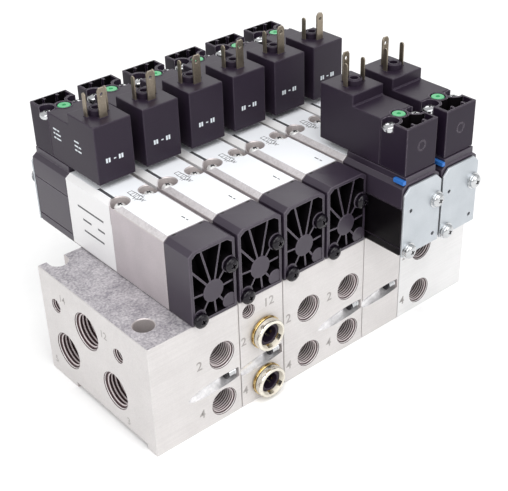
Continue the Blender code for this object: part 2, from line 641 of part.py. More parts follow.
# ---- push-in cartridge ----------------------------------------------------------------------
def cartridge_shape():
    """Barrel with a round outer ring; the front face of the ring is at Y = 0."""
    ring_end = CARTRIDGE_RING_LENGTH - GAP
    bevel = CARTRIDGE_RING_BEVEL
    back = CARTRIDGE_RING_LENGTH + CARTRIDGE_BARREL_LENGTH
    profile = [(CARTRIDGE_STOP_RADIUS, back), (CARTRIDGE_BARREL_RADIUS, back),
               (CARTRIDGE_BARREL_RADIUS, ring_end),
               (CARTRIDGE_RING_RADIUS, ring_end), (CARTRIDGE_RING_RADIUS, bevel),
               (CARTRIDGE_RING_RADIUS - bevel, 0), (CARTRIDGE_MOUTH_RADIUS, 0),
               (CARTRIDGE_MOUTH_RADIUS, CARTRIDGE_MOUTH_DEPTH),
               (CARTRIDGE_THROAT_RADIUS, CARTRIDGE_MOUTH_DEPTH),
               (CARTRIDGE_THROAT_RADIUS, CARTRIDGE_THROAT_DEPTH),
               (CARTRIDGE_STOP_RADIUS, CARTRIDGE_THROAT_DEPTH), (CARTRIDGE_STOP_RADIUS, back)]
    return turned(profile, FINE)


def collet_shape():
    profile = [(TUBE_RADIUS, COLLET_LENGTH), (COLLET_RADIUS, COLLET_LENGTH),
               (COLLET_RADIUS, COLLET_HEAD_LENGTH), (COLLET_HEAD_RADIUS, COLLET_HEAD_LENGTH),
               (COLLET_HEAD_RADIUS, 0), (TUBE_RADIUS, 0), (TUBE_RADIUS, COLLET_LENGTH)]
    return turned(profile, MEDIUM)


# ---- assembly -------------------------------------------------------------------------------
def add_valves(collection):
    body = valve_body_shape().data
    spool = spool_shape().data
    cap = end_cap_shape().data
    for station in range(1, STATIONS + 1):
        x = station_x(station)
        name_part(body, f"valve_body_{station}", "aluminium", collection, (x, 0, 0))
        name_part(spool, f"spool_{station}", "steel", collection, (x, SPOOL_FRONT, SPOOL_Z))
        if station not in DOUBLE_STATIONS:
            name_part(cap, f"end_cap_{station}", "black_plastic", collection, (x, 0, 0))


def add_pilots(collection):
    rear = pilot_body_shape(PILOT_START, True).data
    front = pilot_body_shape(-FRONT_PILOT_START, False).data
    plate = cover_plate_shape().data
    solenoid = solenoid_shape().data
    armature = armature_shape().data
    button = button_shape().data
    for station in range(1, STATIONS + 1):
        x = station_x(station)
        ends = [("rear", 0)] + ([("front", 180)] if station in DOUBLE_STATIONS else [])
        for end, turn in ends:
            facing = 1 if end == "rear" else -1
            tag = f"{end}_{station}"
            adaptor = rear if end == "rear" else front
            name_part(adaptor, f"pilot_body_{tag}", "black_plastic", collection, (x, 0, 0), turn)
            name_part(solenoid, f"solenoid_{tag}", "black_plastic", collection, (x, 0, 0), turn)
            name_part(armature, f"armature_{tag}", "steel", collection,
                      (x, facing * ARMATURE_INNER, ARMATURE_Z), turn)
            name_part(button, f"override_button_{tag}", "green_plastic", collection,
                      (x, facing * BUTTON_Y, COIL_LOW_TOP), turn)
            if end == "front":
                name_part(plate, f"cover_plate_{tag}", "zinc_plate", collection, (x, 0, 0), turn)


def add_cartridges(collection):
    barrel = cartridge_shape().data
    collet = collet_shape().data
    x = station_x(FITTED_STATION) + CARTRIDGE_X
    face = BASE_FRONT - CARTRIDGE_RING_LENGTH
    for label, z in (("2", CARTRIDGE_UPPER_Z), ("4", CARTRIDGE_LOWER_Z)):
        name_part(barrel, f"cartridge_{label}", "nickel", collection, (x, face, z))
        name_part(collet, f"collet_{label}", "black_plastic", collection, (x, face + COLLET_RECESS, z))


def main():
    clear_scene()
    collection = bpy.data.collections.new("solenoid_valve_bank")
    bpy.context.scene.collection.children.link(collection)
    base_blocks(collection)
    add_valves(collection)
    add_pilots(collection)
    add_cartridges(collection)
    for loose in list(bpy.context.scene.collection.objects):
        bpy.data.objects.remove(loose)
    bpy.context.view_layer.update()


main()
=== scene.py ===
"""Looks of a six-station solenoid directional valve bank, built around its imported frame.

Shapes are drawn in millimetres, in the frame's own axes, and scaled to metres when they are placed.
"""
import math

import bmesh
import bpy
from mathutils import Matrix, Vector


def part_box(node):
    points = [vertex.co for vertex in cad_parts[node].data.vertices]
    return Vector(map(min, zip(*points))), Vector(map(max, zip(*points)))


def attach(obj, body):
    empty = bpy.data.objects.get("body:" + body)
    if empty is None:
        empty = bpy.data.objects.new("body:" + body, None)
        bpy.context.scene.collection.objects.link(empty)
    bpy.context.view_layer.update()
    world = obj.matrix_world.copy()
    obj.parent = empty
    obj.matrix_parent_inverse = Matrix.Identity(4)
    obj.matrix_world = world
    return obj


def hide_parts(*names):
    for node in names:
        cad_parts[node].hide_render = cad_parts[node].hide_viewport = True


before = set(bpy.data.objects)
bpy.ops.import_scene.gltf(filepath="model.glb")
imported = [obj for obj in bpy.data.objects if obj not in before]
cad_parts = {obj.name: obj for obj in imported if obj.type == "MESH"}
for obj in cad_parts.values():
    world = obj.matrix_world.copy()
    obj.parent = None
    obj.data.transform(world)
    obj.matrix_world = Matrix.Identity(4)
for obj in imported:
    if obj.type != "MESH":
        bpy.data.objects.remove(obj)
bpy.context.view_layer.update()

MM = 0.001
ROUND = 48                     # sides of ports, heads and hubs
FLAT_ANGLE = 13                # edges sharper than this, in degrees, stay crisp

STATIONS = range(1, 7)
DOUBLE = (5, 6)                # stations with a pilot at both ends
BLOCKS = ("base_left_end", "base_station_2", "base_stations_3_4", "base_station_5", "base_right_end")
TAGS = [f"rear_{s}" for s in STATIONS] + [f"front_{s}" for s in DOUBLE]


def node_box(node):
    """The low and high corner of a CAD node, in millimetres."""
    low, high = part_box(node)
    return low / MM, high / MM


STATION_X = {}
for station in STATIONS:
    body_low, body_high = node_box(f"valve_body_{station}")
    STATION_X[station] = (body_low.x + body_high.x) / 2
BLOCK_BOX = {name: node_box(name) for name in BLOCKS}
BASE_LOW = BLOCK_BOX["base_left_end"][0]
BASE_HIGH = BLOCK_BOX["base_right_end"][1]
BODY_LOW, BODY_HIGH = node_box("valve_body_1")
BODY_HALF = (BODY_HIGH.x - BODY_LOW.x) / 2
CAP_BACK = node_box("end_cap_1")[1].y
CAP_FRONT = BODY_LOW.y - 12.55


# ---- shapes ---------------------------------------------------------------------------------
def to_mesh(bm):
    """Close a bmesh into a mesh whose faces point outward."""
    bmesh.ops.recalc_face_normals(bm, faces=bm.faces)
    mesh = bpy.data.meshes.new("shape")
    bm.to_mesh(mesh)
    bm.free()
    return mesh


def round_edges(bm, edges, size):
    """Round the given edges of a shape."""
    bmesh.ops.bevel(bm, geom=edges, offset=size, offset_type="OFFSET", segments=2, profile=0.5,
                    affect="EDGES", clamp_overlap=True, material=-1)


def block(low, high, edge=0.0):
    """A box between two corners, with rounded edges if an edge size is given."""
    low, high = Vector(low), Vector(high)
    bm = bmesh.new()
    bmesh.ops.create_cube(bm, size=1, matrix=Matrix.Translation((low + high) / 2)
                          @ Matrix.Diagonal((*(high - low), 1)))
    if edge:
        round_edges(bm, bm.edges[:], edge)
    return to_mesh(bm)


def spoke_block(centre, angle, reach, size):
    """A block that stands off a centre at an angle, turned about Y so that its X side points outward."""
    place_at = Vector(centre) + Vector((math.cos(angle), 0, math.sin(angle))) * reach
    bm = bmesh.new()
    bmesh.ops.create_cube(bm, size=1, matrix=Matrix.Translation(place_at) @ Matrix.Rotation(-angle, 4, "Y")
                          @ Matrix.Diagonal((*size, 1)))
    return to_mesh(bm)


def rod(start, end, radius, sides=ROUND, edge=0.0):
    """A round bar between two points, with rounded ends if an edge size is given."""
    start, end = Vector(start), Vector(end)
    run = end - start
    turn = run.to_track_quat("Z", "Y").to_matrix().to_4x4()
    bm = bmesh.new()
    bmesh.ops.create_cone(bm, cap_ends=True, segments=sides, radius1=radius, radius2=radius,
                          depth=run.length, matrix=Matrix.Translation((start + end) / 2) @ turn)
    if edge:
        caps = {e for f in bm.faces if len(f.verts) > 4 for e in f.edges}
        round_edges(bm, list(caps), edge)
    return to_mesh(bm)


def prism(points, along, low, high, edge=0.0):
    """A closed outline swept along Y (points are x, z) or along X (points are y, z)."""
    bm = bmesh.new()
    if along == "Y":
        ring = [bm.verts.new((x, low, z)) for x, z in points]
        sweep = Vector((0, high - low, 0))
    else:
        ring = [bm.verts.new((low, y, z)) for y, z in points]
        sweep = Vector((high - low, 0, 0))
    face = bm.faces.new(ring)
    grown = bmesh.ops.extrude_face_region(bm, geom=[face], use_keep_orig=True)
    moved = [item for item in grown["geom"] if isinstance(item, bmesh.types.BMVert)]
    bmesh.ops.translate(bm, verts=moved, vec=sweep)
    bmesh.ops.remove_doubles(bm, verts=bm.verts, dist=1e-5)
    bmesh.ops.recalc_face_normals(bm, faces=bm.faces)
    if edge:
        round_edges(bm, bm.edges[:], edge)
    return to_mesh(bm)


def turned(profile, start, direction, sides=ROUND):
    """Spin (radius, height) points into a round piece that stands on start and points along direction."""
    bm = bmesh.new()
    verts = [bm.verts.new((radius, 0, height)) for radius, height in profile]
    edges = [bm.edges.new(pair) for pair in zip(verts, verts[1:])]
    bmesh.ops.spin(bm, geom=verts + edges, cent=(0, 0, 0), axis=(0, 0, 1), angle=math.tau, steps=sides,
                   use_merge=True)
    bmesh.ops.remove_doubles(bm, verts=bm.verts, dist=1e-4)
    turn = Vector(direction).to_track_quat("Z", "Y").to_matrix().to_4x4()
    bmesh.ops.transform(bm, matrix=Matrix.Translation(start) @ turn, verts=bm.verts)
    return to_mesh(bm)


def combine(mesh, others, operation="DIFFERENCE"):
    """Cut the other shapes from a mesh, join them to it or keep what they share."""
    made = []
    for data in (mesh, *others):
        item = bpy.data.objects.new("shape", data)
        bpy.context.scene.collection.objects.link(item)
        made.append(item)
    for tool in made[1:]:
        change = made[0].modifiers.new("change", "BOOLEAN")
        change.operation = operation
        change.solver = "EXACT"
        change.object = tool
    bpy.context.view_layer.update()
    result = bpy.data.meshes.new_from_object(made[0].evaluated_get(bpy.context.evaluated_depsgraph_get()))
    for item in made:
        data = item.data
        bpy.data.objects.remove(item)
        bpy.data.meshes.remove(data)
    return result


def gather(meshes):
    """Lay several shapes into one mesh."""
    bm = bmesh.new()
    for mesh in meshes:
        bm.from_mesh(mesh)
        bpy.data.meshes.remove(mesh)
    result = bpy.data.meshes.new("shape")
    bm.to_mesh(result)
    bm.free()
    return result


def moved(mesh, offset=(0, 0, 0), turn=0.0):
    """A copy of a mesh, turned about Z in degrees and then shifted."""
    result = mesh.copy()
    result.transform(Matrix.Translation(offset) @ Matrix.Rotation(math.radians(turn), 4, "Z"))
    return result


def place(mesh, name, finishes, body="manifold", offset=(0, 0, 0), turn=0.0, stands_for=(), slot=None,
          sort=None, crisp=FLAT_ANGLE):
    """Turn a millimetre mesh into a finished piece that rides on a CAD body."""
    data = moved(mesh, offset, turn)
    data.transform(Matrix.Scale(MM, 4))
    data.name = name
    finishes = finishes if isinstance(finishes, (list, tuple)) else [finishes]
    own = [face.material_index for face in data.polygons]
    data.materials.clear()
    for finish in finishes:
        data.materials.append(finish)
    for face in data.polygons:
        face.material_index = sort(face) if sort else min(own[face.index], len(finishes) - 1)
    data.shade_smooth()
    data.set_sharp_from_angle(angle=math.radians(crisp))
    piece = bpy.data.objects.new(name, data)
    bpy.context.scene.collection.objects.link(piece)
    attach(piece, body)
    if stands_for:
        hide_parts(*stands_for)
    return piece


# ---- shader effects -------------------------------------------------------------------------
def new_group(name, inputs, outputs):
    """An empty effect with number inputs and masks or heights as outputs."""
    group = bpy.data.node_groups.new(name, "ShaderNodeTree")
    for label, value in inputs:
        socket = group.interface.new_socket(name=label, in_out="INPUT", socket_type="NodeSocketFloat")
        socket.default_value = value
    for label in outputs:
        group.interface.new_socket(name=label, in_out="OUTPUT", socket_type="NodeSocketFloat")
    return group, group.nodes.new("NodeGroupInput"), group.nodes.new("NodeGroupOutput")


def maths(tree, operation, first, second, clamp=False):
    """One Math node on two values or sockets."""
    node = tree.nodes.new("ShaderNodeMath")
    node.operation = operation
    node.use_clamp = clamp
    for socket, value in zip(node.inputs, (first, second)):
        if isinstance(value, (int, float)):
            socket.default_value = value
        else:
            tree.links.new(value, socket)
    return node.outputs[0]


def coordinates(tree, scale=(1, 1, 1)):
    """Object coordinates in millimetres, stretched by scale."""
    where = tree.nodes.new("ShaderNodeTexCoord")
    mapping = tree.nodes.new("ShaderNodeMapping")
    mapping.inputs["Scale"].default_value = [value / MM for value in scale]
    tree.links.new(where.outputs["Object"], mapping.inputs["Vector"])
    return mapping.outputs[0]


def noise(tree, vector, scale, detail=3.0, roughness=0.55):
    """One Noise Texture node on the given coordinates."""
    node = tree.nodes.new("ShaderNodeTexNoise")
    tree.links.new(vector, node.inputs["Vector"])
    node.inputs["Detail"].default_value = detail
    node.inputs["Roughness"].default_value = roughness
    if isinstance(scale, (int, float)):
        node.inputs["Scale"].default_value = scale
    else:
        tree.links.new(scale, node.inputs["Scale"])
    return node.outputs[0]


def grain_group():
    """Fine grain over broad patches: what blasting, casting and moulding leave on a surface."""
    group, entry, leave = new_group("surface_grain", [("Grain Size", 0.3), ("Patch Size", 6.0),
                                                      ("Patch Share", 0.4)], ["Tone", "Height"])
    vector = coordinates(group)
    fine = noise(group, vector, maths(group, "DIVIDE", 1.0, entry.outputs["Grain Size"]), 4.0, 0.6)
    broad = noise(group, vector, maths(group, "DIVIDE", 1.0, entry.outputs["Patch Size"]), 3.0, 0.5)
    share = entry.outputs["Patch Share"]
    rest = maths(group, "SUBTRACT", 1.0, share)
    tone = maths(group, "ADD", maths(group, "MULTIPLY", broad, share), maths(group, "MULTIPLY", fine, rest))
    group.links.new(tone, leave.inputs["Tone"])
    group.links.new(fine, leave.inputs["Height"])
    return group


def edge_group():
    """A mask that is 1 on outer edges, where handling polishes a surface, and where the black screws get a
    painted glint.
    """
    group, entry, leave = new_group("wear_and_glint_edges", [("Width", 0.25), ("Amount", 1.0)], ["Mask"])
    bevel = group.nodes.new("ShaderNodeBevel")
    bevel.samples = 4
    group.links.new(maths(group, "MULTIPLY", entry.outputs["Width"], MM), bevel.inputs["Radius"])
    surface = group.nodes.new("ShaderNodeNewGeometry")
    dot = group.nodes.new("ShaderNodeVectorMath")
    dot.operation = "DOT_PRODUCT"
    group.links.new(bevel.outputs[0], dot.inputs[0])
    group.links.new(surface.outputs["Normal"], dot.inputs[1])
    bend = maths(group, "MULTIPLY", maths(group, "SUBTRACT", 1.0, dot.outputs["Value"]), 4.0, True)
    speckle = noise(group, coordinates(group), 1.6, 3.0)
    broken = maths(group, "MULTIPLY", bend, maths(group, "MULTIPLY", speckle, 1.6, True))
    group.links.new(maths(group, "MULTIPLY", broken, entry.outputs["Amount"], True), leave.inputs["Mask"])
    return group


def groove_group():
    """Fine parallel tool marks along one axis, as height and tone."""
    group, entry, leave = new_group("tool_marks", [("Spacing", 0.5), ("Waver", 1.0)], ["Tone", "Height"])
    vector = coordinates(group, (0.02, 1.0, 1.0))
    marks = noise(group, vector, maths(group, "DIVIDE", 1.0, entry.outputs["Spacing"]), 2.0, 0.4)
    drift = noise(group, coordinates(group), 0.08, 2.0)
    mixed = maths(group, "ADD", maths(group, "MULTIPLY", marks, 0.6),
                  maths(group, "MULTIPLY", maths(group, "MULTIPLY", drift, entry.outputs["Waver"]), 0.4))
    group.links.new(mixed, leave.inputs["Tone"])
    group.links.new(marks, leave.inputs["Height"])
    return group


EFFECTS = {"grain": grain_group(), "edges": edge_group(), "grooves": groove_group()}


def effect(tree, name, **values):
    """One of the shared effects, with its inputs set by name."""
    node = tree.nodes.new("ShaderNodeGroup")
    node.node_tree = EFFECTS[name]
    for label, value in values.items():
        node.inputs[label.replace("_", " ")].default_value = value
    return node


TONE_LOW, TONE_HIGH = 0.3, 0.7            # the part of a tone's range that colour and gloss follow


def ramp(tree, factor, dark, light):
    """Colour from dark to light as the tone rises."""
    node = tree.nodes.new("ShaderNodeValToRGB")
    for element, place_at, colour in zip(node.color_ramp.elements, (TONE_LOW, TONE_HIGH), (dark, light)):
        element.position = place_at
        element.color = (*colour, 1)
    tree.links.new(factor, node.inputs[0])
    return node.outputs[0]


def spread(tree, factor, low, high):
    """A value from low to high as the tone rises."""
    node = tree.nodes.new("ShaderNodeMapRange")
    limits = {"From Min": TONE_LOW, "From Max": TONE_HIGH, "To Min": low, "To Max": high}
    for label, value in limits.items():
        node.inputs[label].default_value = value
    tree.links.new(factor, node.inputs["Value"])
    return node.outputs[0]


def over(tree, factor, under, top):
    """One even colour laid over another by a mask."""
    node = tree.nodes.new("ShaderNodeMix")
    node.data_type = "RGBA"
    tree.links.new(factor, node.inputs["Factor"])
    tree.links.new(under, node.inputs["A"])
    node.inputs["B"].default_value = (*top, 1)
    return node.outputs["Result"]


def finish(name, dark, light, roughness, metallic=0.0, grain=0.3, patch=6.0, share=0.4, bump=0.05,
           wear_and_glint=None, wear_and_glint_width=0.25, grooves=None, specular=0.5):
    """One Principled material: two tones of colour and gloss, grain, tool marks, and worn edges that on the
    black screws are a painted glint.
    """
    made = bpy.data.materials.new(name)
    made.use_nodes = True
    tree = made.node_tree
    shader = tree.nodes["Principled BSDF"]
    shader.inputs["Metallic"].default_value = metallic
    shader.inputs["Specular IOR Level"].default_value = specular
    surface = effect(tree, "grain", Grain_Size=grain, Patch_Size=patch, Patch_Share=share)
    tone, height = surface.outputs["Tone"], surface.outputs["Height"]
    if grooves:
        marks = effect(tree, "grooves", Spacing=grooves)
        tone = maths(tree, "ADD", maths(tree, "MULTIPLY", tone, 0.5),
                     maths(tree, "MULTIPLY", marks.outputs["Tone"], 0.5))
        height = maths(tree, "ADD", maths(tree, "MULTIPLY", height, 0.4), marks.outputs["Height"])
    colour = ramp(tree, tone, dark, light)
    if wear_and_glint:
        mask = effect(tree, "edges", Width=wear_and_glint_width)
        colour = over(tree, mask.outputs["Mask"], colour, wear_and_glint)
    tree.links.new(colour, shader.inputs["Base Color"])
    tree.links.new(spread(tree, tone, *roughness), shader.inputs["Roughness"])
    if bump:
        relief = tree.nodes.new("ShaderNodeBump")
        relief.inputs["Strength"].default_value = 1.0
        relief.inputs["Distance"].default_value = bump * MM
        tree.links.new(height, relief.inputs["Height"])
        tree.links.new(relief.outputs[0], shader.inputs["Normal"])
    return made


MILLED = finish("milled_aluminium", (0.53, 0.507, 0.500), (0.68, 0.657, 0.650), (0.42, 0.55), 0.35, grain=0.5,
                patch=9, share=0.4, bump=0.015, grooves=0.55)
# Lighter copy of the milled finish for the right end block: a painted sheen where the light falls brighter.
MILLED_SHEEN = finish("milled_aluminium_painted_sheen", (0.64, 0.635, 0.635), (0.76, 0.755, 0.755), (0.42, 0.55), 0.3,
                      grain=0.5, patch=12, share=0.5, bump=0.012, grooves=0.55)
CAST = finish("cast_aluminium_skin", (0.19, 0.175, 0.21), (0.74, 0.71, 0.73), (0.42, 0.62), 0.4, grain=0.75,
              patch=5, share=0.3, bump=0.14, wear_and_glint=(0.86, 0.85, 0.85), wear_and_glint_width=0.5)
CUT_METAL = finish("machined_bore_aluminium", (0.44, 0.40, 0.395), (0.58, 0.535, 0.53), (0.3, 0.4), 0.35,
                   grain=0.2, patch=8, share=0.2, bump=0.0)
# Bright land just inside each port mouth: a painted highlight.
RIM_HIGHLIGHT_METAL = finish("rim_painted_highlight_aluminium", (0.60, 0.57, 0.57), (0.74, 0.71, 0.71), (0.3, 0.4), 0.1,
                   grain=0.1, patch=8, share=0.1, bump=0.0)
THREAD_CREST = finish("thread_crest_aluminium", (0.50, 0.44, 0.44), (0.64, 0.58, 0.585), (0.3, 0.4), 0.1,
                      grain=0.15, patch=6, share=0.15, bump=0.0)
# Near-black thread roots and outer mouth chamfers: painted shade in those recesses.
THREAD_ROOT_SHADE = finish("thread_root_painted_shade", (0.045, 0.026, 0.028), (0.085, 0.052, 0.055), (0.45, 0.6), 0.0,
                     grain=0.2, patch=4, share=0.2, bump=0.0, specular=0.2)
# Tie pockets much lighter than the milled faces: painted light in a pocket that lies in shade.
POCKET_LIGHT_METAL = finish("tapered_pocket_painted_light", (0.50, 0.49, 0.50), (0.92, 0.91, 0.92), (0.16, 0.28), 0.6,
                      grain=0.9, patch=3.2, share=0.7, bump=0.03)
BLASTED = finish("blasted_body_aluminium", (0.38, 0.345, 0.36), (0.55, 0.50, 0.52), (0.48, 0.64), 0.4,
                 grain=0.4, patch=9, share=0.4, bump=0.03, wear_and_glint=(0.86, 0.85, 0.85), wear_and_glint_width=0.2)
BLACK = finish("black_moulding", (0.024, 0.017, 0.029), (0.039, 0.029, 0.046), (0.34, 0.44), 0.0, grain=0.2,
               patch=20, share=0.35, bump=0.012, wear_and_glint=(0.20, 0.17, 0.21), wear_and_glint_width=0.35, specular=0.55)
COIL_BLACK = finish("coil_moulding", (0.014, 0.008, 0.018), (0.023, 0.015, 0.028), (0.40, 0.52), 0.0,
                    grain=0.2, patch=18, share=0.35, bump=0.012, wear_and_glint=(0.13, 0.11, 0.145), wear_and_glint_width=0.3,
                    specular=0.28)
HEAD_BLACK = finish("coil_head_moulding", (0.010, 0.005, 0.014), (0.018, 0.011, 0.023), (0.42, 0.56), 0.0,
                    grain=0.25, patch=12, share=0.35, bump=0.016, wear_and_glint=(0.26, 0.23, 0.27), wear_and_glint_width=0.4,
                    specular=0.22)
# Near-black lower left side of the front adaptors, which face their neighbour: painted shade.
SIDE_SHADE_BLACK = finish("painted_shade_black_side", (0.002, 0.0015, 0.002), (0.004, 0.003, 0.0045), (0.3, 0.4), 0.0,
                     grain=0.2, patch=12, bump=0.0, specular=0.12)
# Near-black inside cap and coil-head pockets and in black screw recesses: painted shade.
SHADE_BLACK = finish("pocket_painted_shade", (0.0015, 0.001, 0.0015), (0.004, 0.003, 0.0045), (0.6, 0.8),
                    patch=8, bump=0.0, specular=0.08)
WHITE_LABEL = finish("white_label_film", (0.86, 0.88, 0.915), (0.89, 0.91, 0.945), (0.32, 0.40), grain=0.6,
                     patch=30, share=0.7, bump=0.003, specular=0.4)
# Greyer copy of the label film for its part down the left side: painted shade on that side.
SIDE_LABEL_SHADED = finish("side_label_film_painted_shade", (0.72, 0.715, 0.72), (0.77, 0.765, 0.77), (0.34, 0.42), 0.0, grain=0.6,
                    patch=30, share=0.7, bump=0.003, specular=0.4)
DARK_INK = finish("dark_ink", (0.05, 0.05, 0.055), (0.10, 0.10, 0.11), (0.45, 0.6), bump=0.0)
PALE_INK = finish("pale_ink", (0.55, 0.60, 0.64), (0.72, 0.77, 0.80), (0.5, 0.6), bump=0.0)
# Dark colour of the flat port figures: painted shade of engraved grooves.
ENGRAVING_SHADE = finish("engraving_painted_shade", (0.24, 0.22, 0.21), (0.44, 0.42, 0.41), (0.4, 0.55), 0.3)
BLADE = finish("dull_blade_brass", (0.20, 0.165, 0.125), (0.34, 0.295, 0.235), (0.26, 0.42), 0.9, grain=0.5,
               patch=5, bump=0.01, wear_and_glint=(0.62, 0.57, 0.46), wear_and_glint_width=0.15)
BRIGHT = finish("bright_zinc_screw", (0.42, 0.43, 0.44), (0.66, 0.67, 0.68), (0.14, 0.26), 0.95, grain=0.25,
                patch=3, bump=0.0, wear_and_glint=(0.92, 0.93, 0.94), wear_and_glint_width=0.2)
# The light edge colour of the black screws is a painted glint around their rim and cross.
BLACK_SCREW = finish("black_zinc_screw", (0.003, 0.002, 0.004), (0.007, 0.005, 0.009), (0.12, 0.2), 0.0,
                     grain=0.2, patch=3, bump=0.0, wear_and_glint=(0.42, 0.39, 0.44), wear_and_glint_width=0.08, specular=0.3)
# Polished chrome body screw heads, whose near-white colour also paints the bright reflections they show deep
# in their counterbores.
POLISHED_SHEEN = finish("polished_screw_head_painted_sheen", (0.82, 0.82, 0.81), (0.93, 0.93, 0.92), (0.12, 0.2), 0.45, grain=0.2,
                  patch=3, bump=0.0)
EDGE_METAL = finish("blasted_chamfer_aluminium", (0.50, 0.475, 0.485), (0.72, 0.69, 0.70), (0.4, 0.55), 0.35,
                    grain=0.7, patch=5, share=0.3, bump=0.02)
# Dark cross recess of the bright screws: painted shade.
RECESS_SHADE = finish("screw_recess_painted_shade", (0.05, 0.05, 0.055), (0.12, 0.12, 0.125), (0.4, 0.5), 0.3, bump=0.0)
PLATE = finish("zinc_cover_plate", (0.42, 0.45, 0.48), (0.55, 0.58, 0.61), (0.36, 0.5), 0.75, grain=0.4,
               patch=9, share=0.6, bump=0.008, wear_and_glint=(0.85, 0.87, 0.89), wear_and_glint_width=0.25)
NICKEL = finish("nickel_plated_brass", (0.66, 0.62, 0.53), (0.86, 0.83, 0.75), (0.12, 0.2), 0.9, grain=0.3,
                patch=5, bump=0.0)
# Light, barely metallic copy of the nickel for the bore lip behind the front ring: a painted highlight.
NICKEL_RIM_HIGHLIGHT = finish("nickel_rim_painted_highlight", (0.72, 0.67, 0.57), (0.84, 0.79, 0.69), (0.3, 0.4), 0.25,
                      grain=0.2, patch=4, bump=0.0)
GOLDEN = finish("bare_brass", (0.52, 0.38, 0.16), (0.72, 0.56, 0.27), (0.16, 0.28), 1.0, grain=0.5, patch=4,
                bump=0.006)
GREEN = finish("green_button_moulding", (0.045, 0.34, 0.13), (0.075, 0.43, 0.18), (0.34, 0.46), grain=0.25,
               patch=4, bump=0.01)
GREEN_DOT = finish("green_button_slot", (0.02, 0.28, 0.10), (0.03, 0.34, 0.13), (0.4, 0.5), grain=0.25)
BLUE = finish("blue_gasket_tab", (0.02, 0.12, 0.42), (0.03, 0.17, 0.52), (0.4, 0.5), bump=0.01)
RUBBER = finish("black_seal", (0.010, 0.009, 0.011), (0.020, 0.018, 0.021), (0.55, 0.7))
STEEL = finish("ground_steel", (0.50, 0.51, 0.53), (0.66, 0.67, 0.69), (0.22, 0.34), 1.0, grain=0.4, patch=5,
               bump=0.006)


# ---- shared small pieces --------------------------------------------------------------------
DOME_STEPS, CROSS_TURN = 6, 20            # facets from rim to top of a screw head, and the turn of its cross


def pan_head(radius, height, recess=1.15, washer=0.0):
    """A domed cross-recess screw head that points along +Z from its seat."""
    rim = height * 0.45
    profile = [(0, -0.4), (radius * 0.9, -0.4), (radius * 0.9, 0), (radius, 0.12), (radius, rim)]
    for step in range(1, DOME_STEPS):
        angle = math.radians(90 * step / DOME_STEPS)
        profile.append((radius * math.cos(angle), rim + (height - rim) * math.sin(angle)))
    head = turned(profile + [(0, height)], (0, 0, 0), (0, 0, 1), 32)
    arm, width = recess * 1.42, recess * 0.32 * 1.42
    tools = []
    for turn in (0, 90):
        bm = bmesh.new()
        bmesh.ops.create_cone(bm, cap_ends=True, segments=4, radius1=0.4, radius2=1.0, depth=height,
                              matrix=Matrix.Rotation(math.radians(45), 4, "Z"))
        bmesh.ops.scale(bm, vec=(arm, width, 1.0), verts=bm.verts)
        bmesh.ops.transform(bm, matrix=Matrix.Translation((0, 0, height * 0.95))
                            @ Matrix.Rotation(math.radians(turn + CROSS_TURN), 4, "Z"), verts=bm.verts)
        tools.append(to_mesh(bm))
    head = combine(head, tools)
    # The cross recess faces take finish 1, painted shade in the recess.
    for face in head.polygons:
        face.material_index = int(face.center.z > height * 0.3 and face.center.xy.length < recess * 1.05
                                  and face.normal.z < 0.8)
    if washer:
        ring = turned([(0, -0.3), (washer, -0.3), (washer, 0.25), (radius * 0.8, 0.3), (0, 0.3)], (0, 0, 0),
                      (0, 0, 1), 32)
        head = gather([head, ring])
    return head


def aimed(mesh, seat, direction):
    """A copy of a mesh that stood on the origin along +Z, moved to its seat and direction."""
    result = mesh.copy()
    turn = Vector(direction).to_track_quat("Z", "Y").to_matrix().to_4x4()
    result.transform(Matrix.Translation(seat) @ turn)
    return result


MOUTH_RIM, MOUTH_LAND = 0.055, 0.025      # widths of a mouth's chamfer and of its land, in port radii
MOUTH_DEPTH = 0.45                        # where the chamfer ends and the bore starts


def thread(mouth, direction, outer, inner, pitch, depth):
    """A ring of V threads that lines a port, from just inside its mouth, with painted shade on the faces at
    the roots.
    """
    sleeve, root = outer + 0.02, outer - 0.03
    middle = inner + (outer - inner) * 0.4
    form = ((0, root), (0.2, root), (0.4, middle), (0.56, inner), (0.66, inner), (0.82, middle))
    first, turns = MOUTH_DEPTH + 0.05, int((depth - 1.0) / pitch)
    last = first + turns * pitch
    profile = [(sleeve, MOUTH_DEPTH)]
    for index in range(turns):
        profile += [(radius, first + (index + share) * pitch) for share, radius in form]
    profile += [(root, last), (sleeve, last + 0.1), (sleeve, MOUTH_DEPTH)]
    ring = turned(profile, mouth, direction, ROUND)
    axis, start = Vector(direction), Vector(mouth)
    # Faces out at the roots take finish 1, painted shade.
    for face in ring.polygons:
        reach = face.center - start
        face.material_index = int((reach - axis * reach.dot(axis)).length > middle)
    return ring


def port_tool(mouth, direction, radius, depth):
    """A drilled port: chamfered mouth, straight bore and pointed floor."""
    rim, land = radius * (1 + MOUTH_RIM), radius * (1 + MOUTH_LAND)
    return turned([(0, -0.5), (rim + 0.5, -0.5), (rim, 0), (land, 0.2), (radius, MOUTH_DEPTH),
                   (radius, depth), (0, depth + radius * 0.5)], mouth, direction)


